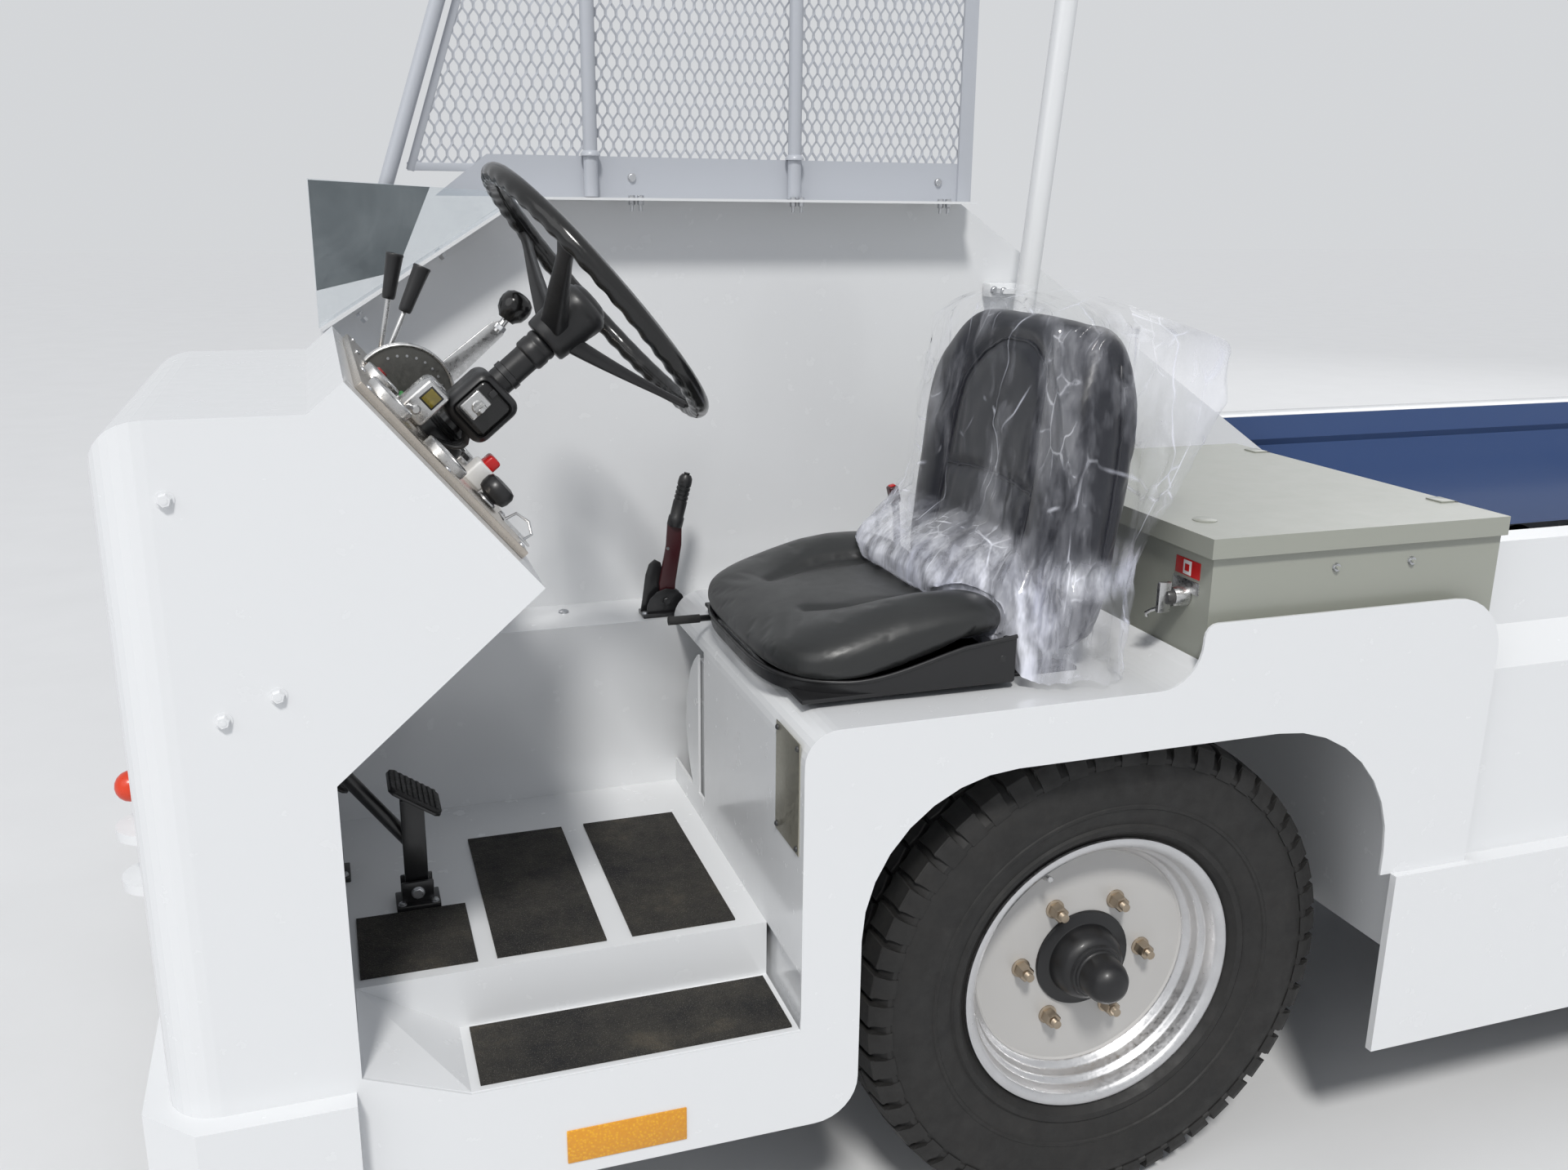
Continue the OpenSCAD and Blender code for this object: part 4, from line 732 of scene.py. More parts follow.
def gauge(kit, x, y, r):
    """Bezel, face, eleven marks, needle and its cap."""
    kit.lathe([(r * 0.84, 13), (r * 0.86, 18.5), (r * 0.94, 20), (r, 18.5), (r, 10)], STEEL, (x, y, 0), n=48)
    kit.lathe([(0, 15), (r * 0.86, 15)], GAUGE_FACE, (x, y, 0), n=40)
    for i in range(11):
        degrees = -45 + 27 * i
        mark_x, mark_y = ring((x, y), r * 0.68, [degrees])[0]
        turn = Matrix.Translation((mark_x, mark_y, 15.4)) @ Matrix.Rotation(rad(degrees), 4, "Z")
        kit.box((-r * (0.06 if i % 5 else 0.1), -0.6, -0.3), (r * 0.07, 0.6, 0.3), LABEL, 0, turn)
    turn = Matrix.Translation((x, y, 16.4)) @ Matrix.Rotation(rad(60 + x % 90), 4, "Z")
    kit.plate([(-r * 0.16, -1.4), (r * 0.62, -0.3), (r * 0.62, 0.3), (-r * 0.16, 1.4)], 0.7, RED, turn)
    kit.lathe([(0, 18.6), (2.6, 18.4), (3.2, 16)], BLACK, (x, y, 0), n=16)


def dash():
    """Panel with its screws, gauges, quadrant, counter, switches and pilot lamps."""
    kit = Kit("dash_instruments", DASH)
    kit.box((-280, 386, 0), (-18, 940, 10), BRUSHED, 1.5)
    for x in (-270, -150, -30):
        for y in (396, 560, 760, 930):
            if (x, y) != (-150, 760):
                kit.pan_head((x, y, 10), (0, 0, 1), 4.2)
    for x, y, r in GAUGES:
        gauge(kit, x, y, r)
    # Quadrant of the drive lever: grey disc with a lighter rim
    centre = (-103, 18)
    kit.plate(ring(centre, 63, range(-6, 187, 6)), 14, DISC_GREY, upright(595))
    for y, r in ((609.5, 2.6), (594.5, 2.2)):
        kit.tube([(x, y, z) for x, z in ring(centre, 64, range(-5, 186, 5))], r, STEEL, 8)
    for x, z in ring(centre, 50, range(20, 170, 14)):
        kit.lathe([(0, 1.3), (1.8, 1.2), (1.8, 0)], ZINC, (x, 609, z), ALONG_Y, 10)
    # Hour counter in its chromed case, with amber window and toggle
    kit.boxes(((-120, 743, 8), (-81, 795, 65), STEEL, 11, 4), ((-118, 786, 12), (-83, 797, 62), STEEL, 5, 3),
              ((-112, 796, 36), (-91, 798.6, 57), BLACK, 1.0),
              ((-110, 797.5, 38), (-93, 799.4, 55), CLUSTER, 0.6))
    kit.rod((-98, 794, 24), (-86, 808, 18), 2.8, STEEL, 2.2, 12)
    kit.lathe([(6, 0), (6, 2), (4, 4), (0, 4)], STEEL, (-99, 796, 24), ALONG_Y, 18)
    # Rocker switch and round knob below the column
    kit.boxes(((-224, 752, 9), (-196, 790, 38), LABEL, 3.5, 3),
              ((-219, 756, 33), (-202, 786, 52), RED, 4, 3))
    knob = [(10, 9), (10, 14), (19, 18), (21, 24), (21, 33), (18, 38), (11, 40), (0, 40)]
    kit.lathe(knob, BLACK, (-232, 812, 0), n=36)
    kit.lathe([(13, 9), (13, 12), (11, 13)], ZINC, (-232, 812, 0), n=30)
    # Wire pull near the panel's foot
    pull = [(-262, 820, 9), (-266, 822, 26), (-282, 830, 30), (-294, 838, 22), (-290, 842, 9)]
    kit.tube(pull, 1.8, ZINC, 8)
    kit.box((-300, 800, 9), (-255, 850, 11.5), STEEL, 0.8)
    for x, y, mat in BUTTONS:
        kit.lathe([(11, 10), (11, 13), (9.5, 14.5), (8, 14.5)], STEEL, (x, y, 0), n=28)
        kit.lathe([(8, 13), (8, 19), (6.5, 21), (0, 21.5)], mat, (x, y, 0), n=24)
    kit.finish("chassis", ["dash_panel"], "steel", 35)


def levers():
    """Two levers with grips and boots, and the flat drive lever with its ball knob."""
    kit = Kit("lever_grips", DASH)
    boot = [(19, 0), (19, 2.5), (16.5, 4), (17.5, 5.5), (13.5, 7.5), (14.5, 9), (10.5, 11.5), (11.5, 13),
            (7, 16), (5.6, 19), (0, 19)]
    for foot, tip, length in (((-73, 476, 10), (26, 478, 136), 62), ((-73, 520, 10), (-7, 518, 151), 66)):
        foot, tip = Vector(foot), Vector(tip)
        way = (tip - foot).normalized()
        low = tip - way * length
        kit.rod(foot, low + way * 12, 3.6, STEEL, n=16)
        grip = [(0, 0), (7.4, 0), (8.6, 1.5), (9.2, 6), (10.0, length * 0.45), (11.6, length * 0.93),
                (12.2, length * 0.965), (11.4, length * 0.995), (9.6, length), (9.2, length - 1.2),
                (0, length - 1.2)]
        kit.lathe(grip, BLACK, low, way, 28)
        kit.lathe(boot, RUBBER, foot, n=28)
    # Flat steel drive lever with its ball knob
    kit.rod((-116, 562, 10), (-116, 562, 24), 19, BLACK_MET)
    arm = [(-134, 10), (-98, 10), (-103, 60), (-109, 84), (-113, 168), (-119, 177), (-130, 177), (-136, 168),
           (-139, 84)]
    kit.plate(arm, 4, STEEL, upright(572), 0.8)
    kit.rod((-127, 574, 164), (-122, 574, 192), 5.2, STEEL)
    kit.hexagon((-126.5, 574, 168), (0.18, 0, 1), 8.5, 7, ZINC)
    knob = [(0, 0), (11, 0), (13, 3), (19, 9), (22, 18), (22.2, 26), (19.5, 34), (13, 39), (6, 41), (0, 41.5)]
    kit.lathe(knob, GLOSSY, (-123.5, 574, 184), (0.22, 0, 0.975))
    kit.finish("chassis", ["control_levers"], "black_plastic", 42)


def handbrake():
    """Grip with its rings, flat lever, ratchet plate and bracket."""
    kit = Kit("handbrake_lever", AHEAD)
    y = 320
    kit.box((457, y - 20, 812), (549, y + 20, 819), BLACK_MET, 1.5)
    cheek = [(542, 816), (541, 830), (536, 843), (524, 854), (508, 859), (492, 856), (481, 847), (476, 834),
             (476, 816)]
    ratchet = [(549, 816), (545, 838), (539, 880), (533, 898), (523, 906), (513, 900), (506, 868), (504, 816)]
    lever = [(516, 830), (518, 866), (505, 930), (502, 968), (478, 968), (479, 930), (490, 866), (492, 830)]
    for outline, start, thick in ((cheek, 9, 3.5), (cheek, -12.5, 3.5), (ratchet, -8, 4)):
        kit.plate(outline, thick, BLACK_MET, upright(y + start), 0.8)
    kit.plate(lever, 9, MAROON, upright(y - 3.5), 2.5)
    low, high = Vector((490, y, 962)), Vector((469.5, y, 1042))
    way = (high - low).normalized()
    grip = [(0, 0), (12.6, 0), (13, 2), (13, 16), (11.4, 18), (11.6, 40)]
    for h in (44, 51.5, 59, 66.5):
        grip += [(11.4, h), (10.3, h + 0.8), (10.3, h + 2.6), (11.4, h + 3.4)]
    kit.lathe(grip + [(11.5, 76), (10.8, 83), (7.5, 88), (0, 90)], BLACK, low, way)
    kit.rod(high + way * 4, high + way * 9, 5, GLOSSY)
    kit.bolt((508, y + 12.5, 838), ALONG_Y, 7, BLACK_MET)
    kit.bolt((484, y + 12.5, 832), ALONG_Y, 4, BLACK_MET)
    kit.rod((503, y + 5, 926), (503, y + 7, 926), 2.5, ZINC, n=12)
    for x in (464, 545):
        kit.bolt((x, y + 13, 819), (0, 0, 1), 4.5)
    kit.finish("chassis", ["handbrake"], "black_metal")


def pedals():
    """Ribbed pads on flat arms, each with its link ahead into the nose."""
    kit = Kit("pedal_arms", AHEAD)
    pad = [(-40, -30), (-32, -38), (34, -38), (40, -32), (40, 30), (34, 38), (-32, 38), (-40, 30)]
    for y, x in ((655, 952), (540, 1070)):
        turn = Matrix.Translation((x - 4, y, 690)) @ Matrix.Rotation(rad(-35), 4, "Y")
        kit.plate(pad, 4, BLACK_MET, turn @ Matrix.Translation((0, 0, -4)), 0.8)
        kit.plate([(u * 0.98, v * 0.98) for u, v in pad], 4.5, RUBBER, turn, 1.2)
        for i in range(8):
            u = -30.5 + i * 8.7
            kit.box((u - 2.4, -33, 4), (u + 2.4, 33, 6.6), RUBBER, 1.0, turn)
        kit.boxes(((x - 16, y - 5, 529), (x + 16, y + 5, 682), BLACK_MET, 1.5),
                  ((x - 30, y - 24, 522), (x + 30, y + 24, 531), BLACK_MET, 1.5))
        for s in (-1, 1):
            kit.box((x - 22, y + s * 12 - 3, 530), (x + 22, y + s * 12 + 3, 562), BLACK_MET, 2.0)
            kit.bolt((x + s * 22, y + 17, 531), (0, 0, 1), 5)
        kit.bolt((x, y + 15, 546), ALONG_Y, 8)
        kit.rod((x, y - 5, 602), (x, y - 20, 602), 7, STEEL, n=16)
        kit.rod((x, y - 18, 602), (x + 108, y - 18, 752), 10, BLACK_MET, n=24)
    kit.finish("chassis", ["pedals"], "rubber")


# Fixings and small trim


def body_fixings():
    kit = Kit("body_fixings", AHEAD)
    for x, z in ((1182, 1188), (1094, 971), (1150, 949)):
        kit.lathe([(0, 0), (9.5, 0), (9.5, 1.4), (0, 1.4)], WHITE, (x, 999.6, z), ALONG_Y, 28)
        kit.hexagon((x, 1001, z), ALONG_Y, 7.2, 6.5, WHITE)
        kit.rod((x, 1007, z), (x, 1008, z), 3.4, WHITE, n=16)
    # Flange bolts of the divider and its slope, heads above and nuts below
    for x in (529, 543, 262, 276, -1, 13):
        kit.bolt((x, 283, 1484), UP, 5.2)
        kit.hexagon((x, 283, 1480), DOWN, 5.2, 7, ZINC)
        kit.rod((x, 283, 1474), (x, 283, 1464), 2.6, ZINC, n=10)
    normal = Vector((0.6088, 0, 0.7933))
    for x, z in ((840, 1401), (961, 1308)):
        p = Vector((x, 262, z)) + normal
        kit.bolt(p, normal, 5.2)
        kit.hexagon(p - normal * 6, -normal, 5.2, 7, ZINC)
    kit.pan_head((669, 264, 812), UP, 9)
    # Blank plate with its rivets on the front of the seat box
    kit.box((500, 892, 684), (501.6, 984, 836), PLATE, 0.6)
    for y in (899, 977):
        for z in (692, 828):
            kit.dome((501.4, y, z), ALONG_X, 4, DARK)
    kit.finish("chassis", slot="steel")


def reflector_strip():
    kit = Kit("side_reflector", AHEAD)
    kit.box((654, 999.6, 316), (808, 1002.2, 363), REFLECT, 1.0)
    kit.finish("chassis", slot="beacon_amber")


def box_details():
    """Parts on the electrical box's lid and walls."""
    lid = Kit("lid_details", AHEAD)
    top = 1057
    for y in (431, 868):
        lid.box((-574, y - 16, top - 0.4), (-548, y + 16, top + 2.2), BOX, 0.8)
        lid.rod((-576, y - 18, top - 3), (-576, y + 18, top - 3), 4.2, DARK, n=16)
    lid.lathe([(0, 0), (17, 0), (17, 1.2), (15, 2.2), (8, 2.8), (0, 3)], BOX, (-133, 882, top - 0.3), n=28)
    lid.finish("box_lid", slot="box_grey")
    kit = Kit("box_details", AHEAD)
    for x in (-287, -417):
        kit.rod((x, 974.5, 1001), (x, 979, 1001), 6.5, ZINC, 5.5)
        kit.rod((x, 978, 1001), (x, 982, 1001), 2.8, BOX, n=12)
    # Blank red plate, and the isolator with its key below it
    kit.boxes(((-85.4, 893, 990), (-83.6, 949, 1014), RED, 0.8),
              ((-84.2, 912, 992), (-83.0, 930, 1012), LABEL, 0.5),
              ((-83.4, 916, 997), (-82.6, 926, 1007), RED, 0.3),
              ((-85.4, 890, 968), (-83.4, 950, 986), STEEL, 0.8))
    kit.rod((-84, 920, 962), (-62, 920, 962), 15, STEEL, 13.5, 28)
    kit.rod((-62, 920, 962), (-52, 920, 962), 11, DARK, 10, 24)
    kit.box((-60, 916, 940), (-40, 924, 984), STEEL, 2.5)
    kit.tube([(-48, 915, 946), (-42, 905, 940), (-40, 897, 934), (-44, 893, 928)], 2.6, STEEL, 8)
    # Rubber seal showing as the dark line under the lid
    kit.boxes(((-88, 362, 1026.2), (-86, 973, 1029), BLACK, 0.3),
              ((-572, 972.4, 1026.2), (-88, 974.6, 1029), BLACK, 0.3))
    kit.finish("chassis", slot="box_grey")


# Guard


def expanded_mesh():
    """Diamond mesh of bonded zigzag strands in its flat border."""
    kit = Kit("guard_expanded_mesh", AHEAD)
    mesh_y, width, step, bond = 248, 16.5, 17.5, 3.4
    z_low, z_high, x_back, x_low, x_high = 1524, 2214, -54, 880, 645

    def edge(z):
        """The mesh's leaning front edge."""
        return x_low + (x_high - x_low) * (z - z_low) / (z_high - z_low)

    strand, x = 0, x_back + 10
    while x < x_low:
        line = []
        row, z = 0, z_low + 4
        while z <= z_high - 6:
            if x < edge(z) - 8:
                side = (width / 4 - 0.2) * (1 if (row + strand) % 2 else -1)
                line += [(x + side, z - bond), (x + side, z + bond)]
            row, z = row + 1, z + step
        if len(line) >= 4:
            points = []
            for i, (px, pz) in enumerate(line):
                lean = 0.9 if i % 4 in (0, 3) else -0.9
                for dx, dy in ((-2, -1 + lean), (2, -1 - lean), (2, 1 - lean), (-2, 1 + lean)):
                    points.append((px + dx, mesh_y + dy * 0.85, pz))
            ends = [[0, 1, 2, 3], [len(points) - k for k in (1, 2, 3, 4)]]
            kit.add(points, quads(len(line), 4) + ends, GREY)
        strand, x = strand + 1, x + width / 2
    corners = [(x_back + 6, z_low + 2), (x_low - 8, z_low + 2), (x_high - 2, z_high - 6),
               (x_back + 6, z_high - 6)]
    for i, (x, z) in enumerate(corners):
        next_x, next_z = corners[(i + 1) % 4]
        way = Vector((next_x - x, 0, next_z - z))
        along = way.normalized()
        turn = Matrix(((along.x, 0, -along.z, x), (0, 1, 0, mesh_y), (along.z, 0, along.x, z), (0, 0, 0, 1)))
        kit.box((-6, -2 - 0.1 * i, -6), (way.length + 6, 2 + 0.1 * i, 6), GREY, 0.8, turn)
    kit.finish("chassis", ["guard_mesh"], "guard_grey", 30)


def guard_trim():
    kit = Kit("guard_trim", AHEAD)
    for x in (268, 603):
        kit.lathe([(15.5, 0), (15.2, 3), (12.5, 7), (11.2, 8)], GREY, (x, 265, 1546), n=24)
    for x in (6, 268, 536, 760):
        kit.bolt((x, 254, 1515), ALONG_Y, 6)
    kit.finish("chassis", slot="guard_grey")


# Beacon, lamps and boom


def beacon():
    """Beacon on its leaning mast, and the mast's clamps and cable."""
    lean = Matrix.Translation((-140, 300, 1230)) @ Matrix.Rotation(rad(-5.3), 4, "Y")
    kit = Kit("beacon_lens", AHEAD @ lean @ Matrix.Translation((0, 0, 1080)))
    kit.lathe([(0, 0), (61, 0), (62, 2), (62, 15), (59, 21), (56, 22), (0, 22)], BLACK, n=56)
    kit.lathe([(57, 15), (58.5, 17), (58.5, 20), (57, 22)], ZINC, n=56)
    glass = [(55.5, 22), (55.5, 27), (54, 30), (50.5, 90), (48, 100), (40, 108), (24, 112.5), (8, 113.5),
             (0, 113.8)]
    n, ribbed = 96, (2, 3, 4)
    points = []
    for i in range(n):
        a = TURN * i / n
        for k, (r, z) in enumerate(glass):
            r -= 0.9 if i % 2 and k in ribbed else 0
            points.append((r * math.cos(a), r * math.sin(a), z))
    kit.add(points, quads(n, len(glass), True, False), AMBER, True)
    kit.lathe([(0, 24), (20, 24), (20, 40), (14, 46), (14, 84), (0, 88)], STEEL, n=24)
    kit.finish("chassis", ["beacon"], "beacon_amber")
    clamps = Kit("mast_clamps", AHEAD)
    for z in (1264, 1334):
        for x in (-162, -118):
            clamps.bolt((x, 276, z), ALONG_Y, 6)
    clamps.box((-182, 222, 1322), (-104, 252, 1346), WHITE, 3)
    for x in (-174, -112):
        clamps.bolt((x, 252, 1334), ALONG_Y, 6.5)
    cable = [(-138, 320, 1290), (-136, 326, 1240), (-134, 330, 1180), (-132, 332, 1100), (-132, 332, 1062)]
    clamps.tube(cable, 4, BLACK)
    clamps.finish("chassis", slot="body_white")


def lamps():
    """Hitch grip, head lamps and tail lamps."""
    kit = Kit("lamp_glass", AHEAD)
    kit.tube([(1364, 0, 480), (1396, 0, 480)], 28, KNOB_RED, 32)
    kit.ball((1396, 0, 480), 28, KNOB_RED, 32)
    for y in (800, -800):
        lamp = (1255, y, 640)
        kit.lathe([(80, 0), (80, 4), (77, 7), (70, 8), (66, 6), (65, 3)], WHITE, lamp, ALONG_X, 56)
        kit.lathe([(66, 4), (55, 6.5), (30, 8), (0, 8.4)], CLEAR_LENS, lamp, ALONG_X, 56)
        kit.lathe([(64, 3), (50, 2), (28, 1.2), (0, 1)], STEEL, lamp, ALONG_X, 40)
        for screw_y, z in ring((y, 640), 74, (30, 150, 270)):
            kit.pan_head((1262, screw_y, z), ALONG_X, 3.2)
    back = -4064
    for y, s in ((810, 1), (-810, -1)):
        kit.box((back - 12, y - 110, 500), (back, y + 110, 580), BLACK, 4)
        for k, mat in enumerate((RED_LENS, AMBER, CLEAR_LENS)):
            low, high = sorted((y + s * (106 - k * 71), y + s * (38 - k * 71)))
            kit.box((back - 25, low, 504), (back - 10, high, 576), mat, 5, segments=3)
    kit.finish("chassis", ["lamps"], "lamp_clear")


def boom_details():
    """Edge trim, fixings and drum bearings of the conveyor."""
    kit = Kit("boom_trim", AHEAD)
    drum_z = 844
    kit.boxes(((-5066, 82, 1069.8), (1276, 150, 1071.2), WHITE, 0.5),
              ((-5066, -942, 883.8), (1276, -874, 885.2), WHITE, 0.5))
    for y, s in ((142, 1), (-942, -1)):
        out = (0, s, 0)
        for x in range(-4800, 1100, 590):
            kit.dome((x, y - 0.3 * s, 812), out, 7, BLUE)
        for x in (1200, -4980):
            bearing = [(0, 0), (38, 0), (38, 4), (33, 7), (20, 7), (18, 12), (0, 12)]
            kit.lathe(bearing, ZINC, (x, y - s * 0.4, drum_z), out)
            for bolt_x, z in ring((x, drum_z), 28, (45, 135, 225, 315)):
                kit.bolt((bolt_x, y + s * 6, z), out, 4)
    kit.finish("boom", slot="boom_blue")


# Seat, padded and covered


def pad_mesh(name, place, mat, plan, edge):
    """A closed rounded pillow; place turns its (length, width, height), each within -1 to 1, into metres."""
    rings, around = 44, 120
    bm = bmesh.new()
    rows = []
    for j in range(1, rings):
        phi = math.pi * j / rings
        s, h = abs(math.sin(phi)) ** edge, sgn_pow(math.cos(phi), edge * 1.1)
        row = []
        for i in range(around):
            theta = TURN * i / around
            length, width = sgn_pow(math.cos(theta), plan), sgn_pow(math.sin(theta), plan)
            row.append(bm.verts.new(place(s * length, s * width, h)))
        rows.append(row)
    top, low = bm.verts.new(place(0, 0, 1)), bm.verts.new(place(0, 0, -1))
    for i in range(around):
        k = (i + 1) % around
        for a, b in zip(rows, rows[1:]):
            bm.faces.new([a[i], b[i], b[k], a[k]])
        bm.faces.new([top, rows[0][i], rows[0][k]])
        bm.faces.new([low, rows[-1][k], rows[-1][i]])
    return mesh_object(name, bm, [mat])


def applied(obj):
    """Replaces the object's mesh by what its modifiers give."""
    dg = bpy.context.evaluated_depsgraph_get()
    dg.update()
    me = bpy.data.meshes.new_from_object(obj.evaluated_get(dg))
    obj.modifiers.clear()
    old, obj.data = obj.data, me
    bpy.data.meshes.remove(old)


def per_vertex(obj, what):
    """The vertices' "co" or "normal" as rows of three."""
    flat = np.empty(len(obj.data.vertices) * 3)
    obj.data.vertices.foreach_get(what, flat)
    return flat.reshape(-1, 3)


def move_to(obj, pos):
    obj.data.vertices.foreach_set("co", pos.ravel())
    obj.data.update()


def nearest_face(obj):
    bm = bmesh.new()
    bm.from_mesh(obj.data)
    tree = BVHTree.FromBMesh(bm)
    bm.free()
    return tree


def on_surface(obj, points, lift):
    tree = nearest_face(obj)
    hits = [tree.find_nearest(p) for p in points]
    return [hit + normal * lift for hit, normal, _, _ in hits]


# How deep the stitches pull the cover in, and how far from the seam, in metres
STITCH_DEPTH, STITCH_REACH = 0.0062, 0.010


def inflate(obj, seams, voxel, cap, pressure, hold=None):
    """Remeshes the pad, swells it as sewn cloth held along its seams, and rounds it once more."""
    mod = obj.modifiers.new("voxels", "REMESH")
    mod.mode, mod.voxel_size = "VOXEL", voxel
    applied(obj)
    start = per_vertex(obj, "co")
    tree = KDTree(len(seams))
    for i, p in enumerate(seams):
        tree.insert(p, i)
    tree.balance()
    group = obj.vertex_groups.new(name="held")
    for v in obj.data.vertices:
        if tree.find(v.co)[2] < voxel * 1.15 or (hold and hold(v.co)):
            group.add([v.index], 1.0, "REPLACE")
    cloth = obj.modifiers.new("cloth", "CLOTH")
    s = cloth.settings
    s.quality, s.mass = 5, 0.35
    s.tension_stiffness = s.compression_stiffness = 18
    s.shear_stiffness, s.bending_stiffness = 8, 2.5
    s.use_pressure, s.uniform_pressure_force = True, pressure
    s.effector_weights.gravity = 0
    s.vertex_group_mass = "held"
    cloth.collision_settings.use_collision = False
    for frame_no in range(1, 21):
        bpy.context.scene.frame_set(frame_no)
    applied(obj)
    bpy.context.scene.frame_set(1)
    obj.vertex_groups.clear()
    move = per_vertex(obj, "co") - start
    length = np.linalg.norm(move, axis=1, keepdims=True)
    move *= np.minimum(1, cap / np.maximum(length, 1e-9))
    obj.data.vertices.foreach_set("co", (start + move).ravel())
    # The stitches pull the cover in along the seams
    obj.data.update()
    pos, normals = per_vertex(obj, "co"), per_vertex(obj, "normal")
    for i, p in enumerate(pos):
        pos[i] -= normals[i] * (STITCH_DEPTH * math.exp(-(tree.find(p)[2] / STITCH_REACH) ** 2))
    move_to(obj, pos)
    sub = obj.modifiers.new("round", "SUBSURF")
    sub.levels = sub.render_levels = 1
    applied(obj)
    for p in obj.data.polygons:
        p.use_smooth = True


def crumple(obj, amount, scale, seed):
    """Soft pull lines of a tight vinyl cover."""
    pos, normals = per_vertex(obj, "co"), per_vertex(obj, "normal")
    for i, p in enumerate(pos):
        q = Vector(p) * scale + Vector((seed, 0, 0))
        pos[i] += normals[i] * amount * (noise.noise(q) * 0.6 + noise.noise(q * 2.3) * 0.4)
    move_to(obj, pos)


def bead_z(x):
    """Height of the pan's rolled edge, which climbs toward the back; x in mm."""
    return 888 + 44 * smooth(420, 190, x)


def cushion_place(u, v, w):
    """Seat cushion: u forward, v to the near side, w up."""
    x = 335 + u * (171 - 15 * abs(v) ** 3 * max(0, u))
    y = 700 + v * 234 * (1 - 0.03 * max(0, u) ** 3 - 0.015 * max(0, -u) ** 2)
    low = bead_z(x) - 8
    bolster = smooth(0.34, 0.80, abs(v))
    crest = 946 + 46 * smooth(0.95, -0.25, u) - 12 * smooth(-0.55, -1.0, u)
    dish = 948 - 12 * smooth(0.45, 1.0, u) + 6 * smooth(-0.4, -1.0, u)
    high = dish + (crest - dish) * bolster
    mid = low + 22
    z = mid + (high - mid) * w if w > 0 else mid + (mid - low) * w
    # Groove over the pan's edge, and a rounder front
    y -= math.copysign(7 * smooth(0.05, -0.7, w) * smooth(0.7, 0.98, abs(v)), v)
    x -= 9 * smooth(0.05, -0.8, w) * smooth(0.6, 1.0, u)
    x -= 16 * smooth(0.35, 1.0, w) * smooth(0.55, 1.0, u)
    return at(x, y, z)


LEAN = Matrix.Translation((0.156, 0, 0.891)) @ Matrix.Rotation(rad(-6), 4, "Y")


def back_place(u, v, w):
    """Backrest: u up, v to the near side, w forward."""
    wide = 236 * (1 - 0.11 * smooth(0.15, 1.0, u) - 0.03 * smooth(-0.3, -1, u))
    z = 220 + u * 228
    x = -60 + w * ((57 if w > 0 else 66) + 3 * smooth(-0.1, -0.8, u)) * (1 - 0.30 * smooth(0.45, 1.0, u))
    front = smooth(0.0, 0.6, w)
    side = smooth(0.46, 0.74, abs(v))
    x -= front * 17 * (1 - side) * smooth(0.95, 0.6, u) * smooth(-0.98, -0.7, u)
    x += front * 7 * (1 - side) * math.exp(-((u + 0.42) / 0.34) ** 2)
    x -= 12 * smooth(0.5, 1.0, u) * (1 if w > 0 else 0.3)
    p = LEAN @ Vector((x / 1000, 0, z / 1000))
    return Vector((XF + p.x, (700 + v * wide) / 1000, p.z))


def seam_line(place, corners):
    """A smooth line through (length, width, height) corners on the pillow."""
    last, steps = len(corners) - 1, 14
    line = []
    for i in range(last):
        p0, p1, p2, p3 = (Vector(corners[max(0, min(last, i + k))]) for k in (-1, 0, 1, 2))
        for j in range(steps):
            t = j / steps
            q = 2 * p1 + (p2 - p0) * t + (2 * p0 - 5 * p1 + 4 * p2 - p3) * t * t
            q += (3 * p1 - p0 - 3 * p2 + p3) * t ** 3
            line.append(place(*(0.5 * q)))
    return line + [place(*corners[-1])]


def mirrored(corners):
    """Carries a line that ends in the middle on over the other side."""
    return corners + [(u, -v, w) for u, v, w in corners[-2::-1]]


def make_seat():
    """Cushion and backrest, each swelled as a sewn cover, with the backrest's piping."""
    cushion = pad_mesh("seat_cushion_pad", cushion_place, VINYL, 0.40, 0.52)
    held = []
    for s in (1, -1):
        crease = [(-0.9, s * 0.44, 0.9), (-0.45, s * 0.50, 0.96), (0.1, s * 0.47, 0.97),
                  (0.5, s * 0.34, 0.93)]
        held += on_surface(cushion, seam_line(cushion_place, crease), 0)
    inflate(cushion, held, 0.005, 0.007, 3.0, lambda p: p.z < 0.893)
    dress(cushion, "chassis", ["seat_cushion"])

    back = pad_mesh("seat_back_pad", back_place, VINYL_BACK, 0.34, 0.32)
    panel = mirrored([(-0.9, 0.56, 0.72), (-0.5, 0.57, 0.96), (0.2, 0.56, 0.97), (0.62, 0.50, 0.88),
                      (0.80, 0.25, 0.7), (0.83, 0, 0.66)])
    across = [(-0.05, 0.55, 0.97), (-0.02, 0.2, 1), (-0.02, -0.2, 1), (-0.05, -0.55, 0.97)]
    welt = mirrored([(-0.96, 0.7, -0.35), (-0.5, 0.98, -0.35), (0.2, 0.98, -0.35), (0.7, 0.85, -0.35),
                     (0.97, 0.4, -0.35), (1.0, 0.0, -0.35)])
    seams = [on_surface(back, seam_line(back_place, line), 0) for line in (panel, across, welt)]
    inflate(back, [p for line in seams for p in line], 0.0055, 0.009, 4.0)
    crumple(back, 0.0016, 14, 9.7)
    kit = Kit("seat_piping")
    for line in seams:
        kit.tube(on_surface(back, line, 0.0004), 0.0021, VINYL_BACK, 8)
    kit.finish("chassis", slot="seat_vinyl")
    dress(back, "chassis", ["seat_back"])
    return cushion, back


